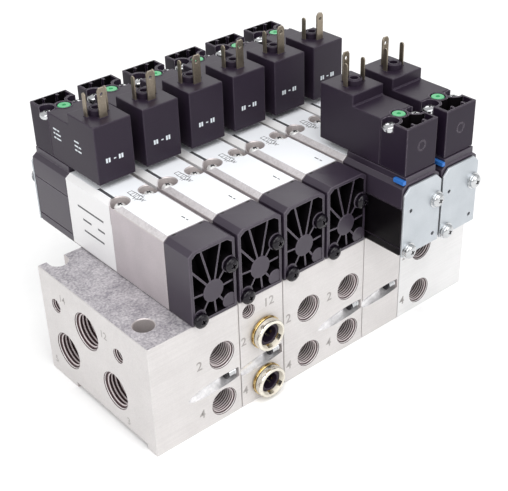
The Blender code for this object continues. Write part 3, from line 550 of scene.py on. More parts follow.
def lettering(text, size, place_at, facing):
    """Flat figures whose dark colour paints the shade of engraved grooves, laid on the port face or on the
    left end.
    """
    curve = bpy.data.curves.new("figures", "FONT")
    curve.body = text
    curve.size = size
    curve.extrude = 0.02
    curve.offset = size * 0.012
    curve.align_x = "CENTER"
    curve.align_y = "CENTER"
    item = bpy.data.objects.new("figures", curve)
    bpy.context.scene.collection.objects.link(item)
    bpy.context.view_layer.update()
    mesh = bpy.data.meshes.new_from_object(item.evaluated_get(bpy.context.evaluated_depsgraph_get()))
    bpy.data.objects.remove(item)
    bpy.data.curves.remove(curve)
    turn = Matrix.Rotation(math.radians(90), 4, "X")
    if facing == "left":
        turn = Matrix.Rotation(math.radians(-90), 4, "Z") @ turn
    sink = Vector((0.012, 0, 0)) if facing == "left" else Vector()
    mesh.transform(Matrix.Translation(Vector(place_at) + sink) @ turn)
    return mesh


# ---- manifold base --------------------------------------------------------------------------
GALLERY_Y, GALLERY_SPREAD, SUPPLY_Z, EXHAUST_Z = -1.2, 14.25, 30.5, 14.4
PILOT_SPREAD, PILOT_Z = 18.5, 31.2
GALLERIES = [(GALLERY_Y, SUPPLY_Z), (GALLERY_Y - GALLERY_SPREAD, EXHAUST_Z),
             (GALLERY_Y + GALLERY_SPREAD, EXHAUST_Z)]
PILOT_GALLERIES = [(GALLERY_Y - PILOT_SPREAD, PILOT_Z), (GALLERY_Y + PILOT_SPREAD, PILOT_Z)]
G8 = (4.87, 4.28, 0.907, 10.0)       # outer radius, inner radius, pitch and depth of a G1/8 thread
G4 = (6.58, 5.72, 1.337, 11.0)
M5 = (2.5, 2.08, 0.8, 7.0)
CARTRIDGE_LOW, CARTRIDGE_HIGH = node_box("cartridge_2")
CARTRIDGE_X = (CARTRIDGE_LOW.x + CARTRIDGE_HIGH.x) / 2
CARTRIDGE_Z = {key: sum(corner.z for corner in node_box(f"cartridge_{key}")) / 2 for key in ("2", "4")}
OUTLET_X, OUTLET_Z = 1.9, {"2": 26.6, "4": 7.3}
SIGNAL_PORT = (STATION_X[2] - 5.4, 38.2)
BOLT_X, BOLT_FRONT, BOLT_BACK, BOLT_RADIUS = 66.8, -25.5, 24.2, 3.5
FRONT, BACK, TOP = BASE_LOW.y, BASE_HIGH.y, BASE_HIGH.z
TIE_SEAT, TIE_Z = 1.9, 16.3               # depth behind the face and height of a tie screw
RISERS = [(-4.2, GALLERY_Y + 0.35, SUPPLY_Z), (-4.2, -15.1, EXHAUST_Z), (-4.2, 13.4, EXHAUST_Z)]
# Finishes 3, 4 and 5 paint light and shade: a lighter tie pocket, a highlight on mouth lands and shade on
# outer mouth chamfers.
BLOCK_FINISHES = [MILLED, CAST, CUT_METAL, POCKET_LIGHT_METAL, RIM_HIGHLIGHT_METAL, THREAD_ROOT_SHADE]


def tie_pocket(joint):
    """The long pocket beside a block joint: a slanting mill cut that runs out of the face to the left."""
    return rod((joint - 1.2, FRONT + 1.5, TIE_Z), (joint - 31.2, FRONT - 4.2, 14.5), 2.4, ROUND)


def tie_screw(joint):
    """The cap screw and dark collar that stand in a tie pocket."""
    seat = Vector((joint - 1.5, FRONT + TIE_SEAT, TIE_Z))
    way = (-1, 0, 0)
    collar = turned([(0, 3.2), (1.75, 3.2), (1.75, 4.0), (0, 4.0)], seat, way, 32)
    head = combine(rod(seat, seat + Vector((-3.3, 0, 0)), 1.55, 32, edge=0.2),
                   [rod(seat + Vector((-0.6, 0, 0)), seat + Vector((-1.0, 0, 0)), 1.7, 32)], "UNION")
    return head, collar


def block_ports(name, left, right):
    """Every port of a block as (mouth, direction, thread)."""
    ports = []
    for station, middle in STATION_X.items():
        if not left < middle < right or station == 5:
            continue
        for key in ("2", "4"):
            x, z = (CARTRIDGE_X, CARTRIDGE_Z[key]) if station == 2 else (middle + OUTLET_X, OUTLET_Z[key])
            ports.append(((x, FRONT, z), (0, 1, 0), G8))
        if station == 2:
            ports.append(((SIGNAL_PORT[0], FRONT, SIGNAL_PORT[1]), (0, 1, 0), M5))
    if name == BLOCKS[0]:
        ports += [((left, y, z), (1, 0, 0), G4) for y, z in GALLERIES]
        ports += [((left, y, z), (1, 0, 0), M5) for y, z in PILOT_GALLERIES]
    return ports


def bolt_cuts(x):
    """The bolt hole at the front of an end block and the open bolt slot at its back."""
    hole = turned([(0, -1), (BOLT_RADIUS, -1), (BOLT_RADIUS, TOP - 0.3), (BOLT_RADIUS + 0.6, TOP + 0.3),
                   (0, TOP + 0.3)], (x, BOLT_FRONT, 0), (0, 0, 1))
    slot = block((x - BOLT_RADIUS, BOLT_BACK, -3), (x + BOLT_RADIUS, BACK + 2, TOP + 3))
    return [hole, combine(rod((x, BOLT_BACK, -2), (x, BOLT_BACK, TOP + 2), BOLT_RADIUS), [slot], "UNION")]


def gallery_cuts(left, right):
    """Foot channel, galleries and risers inside a block."""
    end = min(right + 1, BASE_HIGH.x - 12)
    tools = [block((left - 1, FRONT + 5, -1), (right + 1, BACK - 16.4, 2.2))]
    tools += [rod((left - 1, y, z), (end, y, z), 4.0, 32) for y, z in GALLERIES]
    tools += [rod((left - 1, y, z), (end, y, z), 1.6, 16) for y, z in PILOT_GALLERIES]
    return tools


def block_skin(low, high, ports, has_pocket):
    """Which of BLOCK_FINISHES a face takes, by where it lies in its block."""
    def choose(face):
        middle, normal = face.center / MM, face.normal
        if normal.z > 0.95 and middle.z > TOP - 0.05:
            return 1
        if not all(low[axis] + 0.05 < middle[axis] < high[axis] - 0.05 for axis in range(3)):
            return 0
        for mouth, way, gauge in ports:
            reach = middle - Vector(mouth)
            inward = reach.dot(Vector(way))
            beside = (reach - Vector(way) * inward).length
            # In a mouth chamfer the inner land takes a painted highlight (4) and the outer part painted shade
            # (5).
            if 0.02 < inward < MOUTH_DEPTH - 0.01 and beside < gauge[0] * (1 + MOUTH_RIM):
                return 4 if beside < gauge[0] * (1 + MOUTH_LAND) else 5
        edged = sum(min(middle[axis] - low[axis], high[axis] - middle[axis]) < 0.31 for axis in range(3)) > 1
        # Tie pocket faces take finish 3, painted light.
        in_pocket = (middle.y < FRONT + 4.2 and 13.6 < middle.z < 19.8
                     and high.x - 20.5 < middle.x < high.x - 1.4)
        return 0 if edged else 3 if in_pocket and has_pocket else 2
    return choose


def make_base():
    """Manifold blocks with their ports, galleries, bolt cuts and tie screws."""
    for index, name in enumerate(BLOCKS):
        low, high = BLOCK_BOX[name]
        left, right = low.x, high.x
        has_pocket = index < len(BLOCKS) - 1
        body = block(low, high, 0.3)
        tools = gallery_cuts(left, right)
        ports = block_ports(name, left, right)
        tools += [port_tool(mouth, way, gauge[0], gauge[-1]) for mouth, way, gauge in ports]
        threads = [thread(mouth, way, *gauge) for mouth, way, gauge in ports]
        for middle in STATION_X.values():
            if left < middle < right:
                tools += [rod((middle + x, y, z), (middle + x, y, TOP + 1), 1.8, 12) for x, y, z in RISERS]
        if index in (0, len(BLOCKS) - 1):
            tools += bolt_cuts(BOLT_X if index else -BOLT_X)
        if has_pocket:
            joint = right + 0.15
            tools.append(tie_pocket(joint))
            head, collar = tie_screw(joint)
            place(head, f"tie_screw_{index + 1}", BRIGHT, slot="bright_screw")
            place(collar, f"tie_collar_{index + 1}", BLACK_SCREW, slot="black_screw")
        # The right end block takes the lighter copy, painted sheen.
        finishes = BLOCK_FINISHES if has_pocket else [MILLED_SHEEN] + BLOCK_FINISHES[1:]
        place(combine(body, tools), f"{name}_block", finishes, stands_for=(name,), slot="cast_aluminium",
              sort=block_skin(low, high, ports, has_pocket))
        if threads:
            place(gather(threads), f"{name}_threads", [THREAD_CREST, THREAD_ROOT_SHADE], slot="cast_aluminium",
                  crisp=25)
    make_figures()


def make_figures():
    """Port numbers on the port face and the left end, their engraving shown by painted shade."""
    figures = []
    for station in (1, 3, 4, 6):
        x = STATION_X[station] + OUTLET_X - 9.2
        for key, drop in (("2", -0.1), ("4", 0.6)):
            figures.append(lettering(key, 4.9, (x, FRONT, OUTLET_Z[key] - drop), "front"))
    for key, drop in (("2", 0.1), ("4", 0.8)):
        figures.append(lettering(key, 4.6, (CARTRIDGE_X - 8.9, FRONT, CARTRIDGE_Z[key] - drop), "front"))
    figures.append(lettering("12", 4.7, (SIGNAL_PORT[0] + 8.6, FRONT, SIGNAL_PORT[1] - 0.2), "front"))
    ends = [("3", -21.6, 5.1), ("5", 22.8, 5.3), ("12", -11.9, 35.0), ("14", 12.6, 36.1)]
    for text, y, z in ends:
        figures.append(lettering(text, 3.9, (BASE_LOW.x, y, z), "left"))
    place(gather(figures), "port_figures", ENGRAVING_SHADE, slot="engraving")


# ---- valves ---------------------------------------------------------------------------------
CHAMFER_X, CHAMFER_Z = 1.9, 1.4
SCREW_X, SCREW_Y, SCREW_POCKET, SCREW_DEPTH = 5.7, 2.9, 3.15, 3.8
SPOOL_Z = sum(corner.z for corner in node_box("spool_1")) / 2
BODY_TOP, BODY_FLOOR = BODY_HIGH.z, BODY_LOW.z
HIGH_SCREW, LOW_SCREW = (6.6, 59.8), (-6.1, 44.9)
HIGH_HOLE, LOW_HOLE = (-5.6, 60.0), (6.1, 46.5)
NOTCH_X = 5.2                             # from the middle of a cap to each notch at its back edge


def section(half=BODY_HALF, floor=BODY_FLOOR, top=BODY_TOP):
    """Outline of a valve across its length: a box with chamfered top edges."""
    return [(-half, floor), (half, floor), (half, top - CHAMFER_Z), (half - CHAMFER_X, top),
            (CHAMFER_X - half, top), (-half, top - CHAMFER_Z)]


def valve_body():
    """Body of one valve, with its spool bore, passages and screw counterbores."""
    body = prism(section(), "Y", BODY_LOW.y, BODY_HIGH.y, 0.18)
    tools = [rod((0, BODY_LOW.y - 1, SPOOL_Z), (0, BODY_HIGH.y + 1, SPOOL_Z), 4.45, 32)]
    for x, y in ((-4.2, -0.85), (-4.2, -15.1), (-4.2, 13.4), (1.9, -8.3), (1.9, 5.9)):
        tools.append(rod((x, y, BODY_FLOOR - 1), (x / 2, y, SPOOL_Z), 1.8, 12))
    for side in (-1, 1):
        x = side * SCREW_X
        tools.append(turned([(0, 0), (SCREW_POCKET, 0), (SCREW_POCKET, SCREW_DEPTH - 0.3),
                             (SCREW_POCKET + 0.6, SCREW_DEPTH + 0.3), (0, SCREW_DEPTH + 0.3)],
                            (x, SCREW_Y, BODY_TOP - SCREW_DEPTH), (0, 0, 1)))
    return combine(body, tools)


def top_label():
    """Printed film on a valve: over the top, and down its left side behind the screws."""
    edge = BODY_HALF - CHAMFER_X
    film = 0.08
    top = block((-edge, BODY_LOW.y + 0.1, BODY_TOP), (edge, BODY_HIGH.y - 0.2, BODY_TOP + film))
    side = BODY_HALF
    wrap = prism([(-edge, BODY_TOP), (-side, BODY_TOP - CHAMFER_Z), (-side, BODY_FLOOR + 0.5),
                  (-side - film, BODY_FLOOR + 0.5), (-side - film, BODY_TOP - CHAMFER_Z + 0.05),
                  (-edge, BODY_TOP + film)], "Y", 4.2, BODY_HIGH.y - 0.1)
    tools = [rod((x, SCREW_Y, BODY_TOP - 8), (x, SCREW_Y, BODY_TOP + 2), SCREW_POCKET + 0.45)
             for x in (-SCREW_X, SCREW_X)]
    return combine(top, [mesh.copy() for mesh in tools]), combine(wrap, tools)


def stroke(x0, y0, x1, y1, z, width):
    """A thin printed line on top of a film."""
    start, end = Vector((x0, y0)), Vector((x1, y1))
    middle, run = (start + end) / 2, end - start
    bm = bmesh.new()
    bmesh.ops.create_cube(bm, size=1, matrix=Matrix.Translation((*middle, z))
                          @ Matrix.Rotation(math.atan2(run.y, run.x), 4, "Z")
                          @ Matrix.Diagonal((run.length + width, width, 0.03, 1)))
    return to_mesh(bm)


def circuit_symbol(z):
    """The plain two-box symbol of a directional valve, with its spring and pilot ends."""
    line = 0.2
    x0, x1, y0 = -0.9, 1.3, -0.4
    parts = []
    for x in (x0, x1):
        parts.append(stroke(x, y0, x, y0 + 4.4, z, line))
    for step in (0, 2.2, 4.4):
        parts.append(stroke(x0, y0 + step, x1, y0 + step, z, line))
    parts += [stroke(x0, y0 + 0.4, x1, y0 + 1.8, z, line), stroke(x0, y0 + 2.8, x1, y0 + 3.4, z, line),
              stroke(x0 - 0.9, y0 + 0.6, x0, y0 + 0.6, z, line),
              stroke(x0 - 0.9, y0 + 1.6, x0, y0 + 1.6, z, line),
              stroke(x1, y0 + 0.7, x1 + 0.9, y0 + 0.7, z, line),
              stroke(x1, y0 + 1.5, x1 + 0.9, y0 + 1.5, z, line)]
    for step in range(4):
        tip = -0.7 if step % 2 else 0.7
        parts.append(stroke(0.1 + tip, y0 - 0.5 * step, 0.1 - tip, y0 - 0.5 * (step + 1), z, line))
    parts += [stroke(x0 + 0.2, y0 + 4.4, x0 + 0.2, y0 + 6.2, z, line),
              stroke(x1 - 0.2, y0 + 4.4, x1 - 0.2, y0 + 6.2, z, line),
              stroke(x0 + 0.2, y0 + 6.2, x1 - 0.2, y0 + 6.2, z, line)]
    return parts


def printed_marks():
    """Symbol, two short dashes near the cap and a row of plain bars by the coil."""
    z = BODY_TOP + 0.095
    parts = circuit_symbol(z)
    parts += [stroke(3.2, -21.4, 3.2, -20.8, z, 0.45), stroke(3.2, -19.8, 3.2, -18.4, z, 0.45)]
    parts += [stroke(-6.1, y, -6.1, y + 0.3, z, 1.15) for y in (6.5, 7.9, 9.3, 10.7, 12.1, 13.5)]
    return gather(parts)


def side_marks():
    """Plain bars printed on the side film of the first valve."""
    x = -BODY_HALF - 0.095
    bars = []
    for y0, y1, z in ((9.0, 24.5, 60.4), (9.0, 13.0, 56.0), (17.0, 22.0, 56.0), (10.0, 22.0, 51.6)):
        bars.append(block((x - 0.015, y0, z), (x + 0.015, y1, z + 0.7)))
    return gather(bars)


CAP_WALL, CAP_DEPTH, HUB_Z, HUB_RADIUS, RIB_THICK = 1.1, 5.0, 52.9, 3.9, 0.65
RIB_ANGLES = (3, 50, 77, 104, 128, 176, 236, 275, 305)
CAP_BOSSES = ((HIGH_SCREW, 2.9), (LOW_HOLE, 2.7), ((-5.8, 45.7), 2.5))


def cap_rib(angle, front, back):
    """A rib from the hub to the wall of an end cap's pocket."""
    across, upward = math.cos(angle), math.sin(angle)
    room = BODY_TOP - CAP_WALL - HUB_Z if upward > 0 else HUB_Z - BODY_FLOOR - CAP_WALL
    end = min((BODY_HALF - CAP_WALL) / abs(across), room / abs(upward)) + 0.4
    start = HUB_RADIUS - 0.4
    return spoke_block((0, (front + back) / 2, HUB_Z), angle, (start + end) / 2,
                       (end - start, back - front, RIB_THICK))


def end_cap():
    """Moulded cap: thin rim, deep pocket, hub disc, nine ribs and three screw bosses."""
    body = prism(section(), "Y", CAP_FRONT, CAP_BACK, 0.25)
    inner = section(BODY_HALF - CAP_WALL, BODY_FLOOR + CAP_WALL, BODY_TOP - CAP_WALL)
    pocket = prism(inner, "Y", CAP_FRONT - 1, CAP_FRONT + CAP_DEPTH)
    notches = [block((x - 0.7, CAP_BACK - 0.9, BODY_TOP - 0.5), (x + 0.7, CAP_BACK + 1, BODY_TOP + 1))
               for x in (-NOTCH_X, NOTCH_X)]
    spring = rod((0, CAP_BACK - 5.5, SPOOL_Z), (0, CAP_BACK + 1, SPOOL_Z), 3.8, 24)
    body = combine(body, [pocket, spring] + notches)
    floor = CAP_FRONT + CAP_DEPTH + 0.4
    hub = rod((0, CAP_FRONT + 0.25, HUB_Z), (0, floor, HUB_Z), HUB_RADIUS, edge=0.2)
    bosses = [rod((x, CAP_FRONT + 0.2, z), (x, floor, z), radius, edge=0.2) for (x, z), radius in CAP_BOSSES]
    body = combine(body, [hub, *bosses], "UNION")
    ribs = [cap_rib(math.radians(angle), CAP_FRONT + 0.5, floor) for angle in RIB_ANGLES]
    return combine(body, ribs, "UNION")


def body_skin(x):
    """Blasted faces are 0, the screw counterbores 1 and the top chamfers 2."""
    def choose(face):
        middle = face.center / MM
        beside = math.hypot(abs(middle.x - x) - SCREW_X, middle.y - SCREW_Y)
        if abs(face.normal.z) < 0.99 and middle.z > BODY_TOP - SCREW_DEPTH - 0.1 and beside < 3.4:
            return 1
        return 2 if 0.5 < face.normal.z < 0.95 and middle.z > BODY_TOP - CHAMFER_Z else 0
    return choose


def cap_skin(x):
    """The faces inside a cap's pocket are 1, which takes painted shade."""
    def choose(face):
        middle, rim = face.center / MM, CAP_WALL - 0.05
        return int(abs(middle.x - x) < BODY_HALF - rim and CAP_FRONT + 0.7 < middle.y < CAP_BACK - 0.5
                   and BODY_FLOOR + rim < middle.z < BODY_TOP - rim)
    return choose


def valve_seals(single):
    """Gasket under a valve, seals at both ends of its body and the dark notches behind an end cap."""
    half = BODY_HALF - 0.25
    gasket = block((-half, (CAP_FRONT if single else -52.2) + 0.4, TOP), (half, 52.2, BODY_FLOOR))
    ends = [block((-half, y, BODY_FLOOR + 0.2), (half, y + 0.3, BODY_TOP - 1.8))
            for y in (BODY_LOW.y - 0.3, BODY_HIGH.y)]
    if single:
        ends += [block((x - 0.65, CAP_BACK - 0.85, BODY_TOP - 0.45),
                       (x + 0.65, CAP_BACK - 0.02, BODY_TOP + 0.03)) for x in (-NOTCH_X, NOTCH_X)]
    hole = rod((0, BODY_LOW.y - 2, SPOOL_Z), (0, BODY_HIGH.y + 2, SPOOL_Z), 4.6, 24)
    return gather([gasket] + [combine(end, [hole.copy()]) for end in ends])


def make_valves():
    """Bodies, labels, screws and seals of all stations, and end caps where there is no front pilot."""
    body = valve_body()
    top, wrap = top_label()
    marks = printed_marks()
    cap = end_cap()
    black_head = pan_head(2.6, 2.3, 1.4)
    round_head = pan_head(2.15, 3.0, 1.35)
    seat_z = BODY_TOP - SCREW_DEPTH
    for station, x in STATION_X.items():
        here = (x, 0, 0)
        single = station not in DOUBLE
        place(body, f"valve_body_{station}_block", [BLASTED, CUT_METAL, EDGE_METAL], offset=here,
              slot="body_aluminium", stands_for=(f"valve_body_{station}",), sort=body_skin(x))
        place(top, f"label_{station}", WHITE_LABEL, offset=here, slot="white_label")
        place(wrap, f"label_side_{station}", SIDE_LABEL_SHADED, offset=here, slot="white_label")
        place(marks, f"label_marks_{station}", DARK_INK, offset=here, slot="dark_print")
        screws = [moved(round_head, (side * SCREW_X, SCREW_Y, seat_z)) for side in (-1, 1)]
        place(gather(screws), f"body_screws_{station}", [POLISHED_SHEEN, RECESS_SHADE], offset=here, slot="bright_screw",
              crisp=30)
        place(valve_seals(single), f"seals_{station}", RUBBER, offset=here, slot="seal_rubber")
        if single:
            place(cap, f"end_cap_{station}_moulding", [BLACK, SHADE_BLACK], offset=here, slot="black_plastic",
                  stands_for=(f"end_cap_{station}",), sort=cap_skin(x))
            heads = [aimed(black_head, (across, CAP_FRONT + 0.1, z), (0, -1, 0))
                     for across, z in (HIGH_SCREW, LOW_SCREW)]
            place(gather(heads), f"cap_screws_{station}", [BLACK_SCREW, SHADE_BLACK], offset=here,
                  slot="black_screw", crisp=28)
    place(side_marks(), "side_label_bars", DARK_INK, offset=(STATION_X[1], 0, 0), slot="dark_print")


# ---- pilots ---------------------------------------------------------------------------------
PILOT_BACK, RIDGE_HALF, RIDGE_TOP, SEAM_Z = 52.5, 7.2, 72.2, 61.2
PLATE_FRONT = PILOT_BACK + 0.3


def pilot_adaptor(start):
    """Moulded adaptor between a valve body and its pilot solenoid, drawn for the rear."""
    body = prism(section(), "Y", start, PILOT_BACK, 0.3)
    ridge = block((-RIDGE_HALF, start + 0.1, BODY_TOP - 1), (RIDGE_HALF, PILOT_BACK - 0.4, RIDGE_TOP), 0.2)
    body = combine(body, [ridge], "UNION")
    tools = [rod((0, start - 1, SPOOL_Z), (0, start + 9, SPOOL_Z), 5.5, 32),
             rod((0, start + 7, SPOOL_Z), (0, start + 7, RIDGE_TOP + 1), 1.2, 16)]
    for side in (-1, 1):
        x = side * BODY_HALF
        tools.append(block((x - 0.35, start - 1, SEAM_Z - 0.2), (x + 0.35, PILOT_BACK + 1, SEAM_Z + 0.2)))
        tools.append(block((x - 0.5, start - 1, 46.0), (x + 0.5, PILOT_BACK + 1, 46.5)))
    return combine(body, tools)


def cover_plate():
    """Pressed cover plate with clipped top corners, drawn for the rear."""
    half, corner, low, high = 9.0, 2.6, 43.0, 69.2
    points = [(-half, low), (half, low), (half, high - corner), (half - corner, high), (corner - half, high),
              (-half, high - corner)]
    body = prism(points, "Y", PLATE_FRONT, PLATE_FRONT + 0.8, 0.2)
    holes = [rod((-x, PLATE_FRONT - 1, z), (-x, PLATE_FRONT + 3, z), 0.75, 24)
             for x, z in (HIGH_HOLE, LOW_HOLE)]
    return combine(body, holes)


COIL_HALF, COIL_FLOOR, COIL_INNER, COIL_STEP, COIL_SPLIT, COIL_OUTER = 7.2, 72.5, 11.7, 27.2, 40.0, 51.7
COIL_TOP, COIL_LOW = 93.2, 89.3
BUTTON_Y, COIL_SCREW_X, COIL_SCREW_Y, ARMATURE_Z = 41.1, 5.75, 43.0, 80.5
BOSS_Y, EARTH_Y, BLADE_X = 20.5, 16.4, 4.0


def screw_rods(low, high, radius):
    """Two rods on the axes of the coil screws."""
    return [rod((x, COIL_SCREW_Y, low), (x, COIL_SCREW_Y, high), radius)
            for x in (-COIL_SCREW_X, COIL_SCREW_X)]


def button_well():
    """The hole that the override button slides in."""
    return rod((0, BUTTON_Y, COIL_LOW - 4.1), (0, BUTTON_Y, COIL_LOW + 1), 2.65)


def coil_housing():
    """Coil moulding: tall plug end, low end, plug boss and the bore of its armature."""
    outline = [(COIL_INNER, COIL_FLOOR), (COIL_SPLIT - 0.06, COIL_FLOOR), (COIL_SPLIT - 0.06, COIL_LOW),
               (COIL_STEP, COIL_LOW), (COIL_STEP, COIL_TOP), (COIL_INNER, COIL_TOP)]
    body = prism(outline, "X", -COIL_HALF, COIL_HALF, 0.3)
    foot = block((-COIL_HALF + 0.35, COIL_STEP - 0.2, COIL_LOW - 0.3),
                 (COIL_HALF - 0.35, COIL_STEP + 0.55, COIL_LOW + 0.35), 0.15)
    body = combine(body, [foot], "UNION")
    tools = [rod((0, 20.5, ARMATURE_Z), (0, 44, ARMATURE_Z), 3.45, 32), button_well(),
             rod((0, 38.5, COIL_FLOOR - 1), (0, 38.5, ARMATURE_Z), 1.2, 16),
             rod((0, BOSS_Y, COIL_TOP - 4), (0, BOSS_Y, COIL_TOP + 1), 1.45, 24)]
    return combine(body, tools + screw_rods(COIL_LOW - 3, COIL_LOW + 1, 2.85))


def coil_head():
    """Pilot seat at the outer end of a coil, with its screw wells, button well and open pocket."""
    body = block((-COIL_HALF, COIL_SPLIT + 0.06, COIL_FLOOR), (COIL_HALF, COIL_OUTER, COIL_LOW), 0.3)
    pocket = block((-6.35, 43.2, COIL_LOW - 5), (6.35, COIL_OUTER - 0.75, COIL_LOW + 1), 0.3)
    walls = screw_rods(80, 95, 3.75)
    walls.append(rod((0, BUTTON_Y, 80), (0, BUTTON_Y, 95), 3.5))
    walls += [block((x - 0.35, COIL_OUTER - 2.4, 80), (x + 0.35, COIL_OUTER, 95)) for x in (-2.4, 2.8)]
    pocket = combine(pocket, walls)
    tools = [pocket, button_well()] + screw_rods(COIL_LOW - 3, COIL_LOW + 1, 2.85)
    gate = turned([(1.5, -0.2), (1.5, 0.2), (1.8, 0.2), (1.8, -0.2), (1.5, -0.2)],
                  (0, COIL_OUTER - 0.12, 81.5), (0, 1, 0), 32)
    return combine(body, tools + [gate])


def plug_boss():
    """Round boss with a lipped rim around the plug's screw hole."""
    return turned([(1.45, -0.5), (2.8, -0.5), (2.8, 1.9), (2.6, 2.1), (2.25, 2.2), (2.2, 1.7), (1.9, 1.65),
                   (1.85, 2.2), (1.55, 2.2), (1.45, 2.0), (1.45, -0.5)], (0, BOSS_Y, COIL_TOP), (0, 0, 1), 40)


def blades():
    """Two flat power blades with rounded tips and one earth blade with clipped corners and an eye."""
    parts = []
    root, tip = COIL_TOP - 1, COIL_TOP + 8.3
    half_outline = [(0.9, root), (0.9, tip - 0.8), (0.65, tip - 0.25), (0.3, tip)]
    points = [(BOSS_Y + reach, z) for reach, z in half_outline]
    points += [(BOSS_Y - reach, z) for reach, z in reversed(half_outline)]
    for x in (-BLADE_X, BLADE_X):
        parts.append(prism(points, "X", x - 0.25, x + 0.25, 0.08))
    tip = COIL_TOP + 10.2
    points = [(-1.5, root), (1.5, root), (1.5, tip - 1.0), (0.9, tip), (-0.9, tip), (-1.5, tip - 1.0)]
    earth = prism(points, "Y", EARTH_Y - 0.3, EARTH_Y + 0.3, 0.08)
    parts.append(combine(earth, [rod((0, EARTH_Y - 1, tip - 2.2), (0, EARTH_Y + 1, tip - 2.2), 0.68, 24)]))
    return gather(parts)


def blade_roots():
    """Raised lips in the moulding around the feet of the blades."""
    parts = [block((side * BLADE_X - 0.5, BOSS_Y - 1.15, COIL_TOP - 0.3),
                   (side * BLADE_X + 0.5, BOSS_Y + 1.15, COIL_TOP + 0.18), 0.1) for side in (-1, 1)]
    parts.append(block((-1.8, EARTH_Y - 0.6, COIL_TOP - 0.3), (1.8, EARTH_Y + 0.6, COIL_TOP + 0.18), 0.1))
    return gather(parts)


def button_pieces():
    """Override button, the slot in its top and the sliding lock ring around it."""
    top = COIL_LOW
    button = turned([(0, -2.8), (2.3, -2.8), (2.3, -0.25), (2.1, -0.02), (0.75, 0.0), (0.7, -0.5), (0, -0.5)],
                    (0, BUTTON_Y, top), (0, 0, 1), 40)
    dot = turned([(0, -0.6), (0.7, -0.6), (0.7, -0.4), (0, -0.35)], (0, BUTTON_Y, top), (0, 0, 1), 24)
    slider = gather([block((-3.3, BUTTON_Y - 0.35, top - 0.3), (-2.75, BUTTON_Y + 0.5, top + 0.25), 0.1),
                     turned([(2.7, -0.6), (3.15, -0.6), (3.15, 0.12), (2.9, 0.22), (2.7, 0.1), (2.7, -0.6)],
                            (0, BUTTON_Y, top), (0, 0, 1), 48)])
    return button, dot, slider


SIDE_PRINT = ((37.5, 84.3, 2.2), (34.9, 84.3, 1.2), (37.5, 82.7, 1.0), (36.0, 82.7, 3.0), (37.5, 81.1, 1.4),
              (35.7, 81.1, 2.6), (24.5, 84.3, 2.8), (24.5, 82.7, 2.0), (22.1, 82.7, 1.4), (24.5, 81.1, 1.4),
              (22.7, 81.1, 2.0))          # back end, height and length of each plain bar on a coil's side


def coil_prints():
    """Plain bars in pale ink on the inner face and on the side of a coil."""
    bars = [block((x - 0.35, COIL_INNER - 0.015, 79.6), (x + 0.35, COIL_INNER + 0.015, 81.2))
            for x in (-3.4, -2.4, 1.6, 2.6)]
    bars.append(block((-0.7, COIL_INNER - 0.015, 80.2), (0.2, COIL_INNER + 0.015, 80.6)))
    side = [block((-COIL_HALF - 0.015, y - run, z - 0.28), (-COIL_HALF + 0.1, y, z + 0.28))
            for y, z, run in SIDE_PRINT]
    return gather(bars), gather(side)


def adaptor_skin(end):
    """The lower left side of a front adaptor, beside the next station, is 1 and takes painted shade."""
    return lambda face: int(end == "front" and face.normal.x < -0.9 and face.center.z / MM < SEAM_Z + 2)


def head_skin(face):
    """The inside of the open pocket in a coil head is 1, which takes painted shade."""
    middle, normal = face.center / MM, face.normal
    return int(80 < middle.z < COIL_LOW - 2.2 and 43.3 < abs(middle.y) < COIL_OUTER - 0.6
               and normal.z > -0.5 and abs(normal.x) < 0.99)


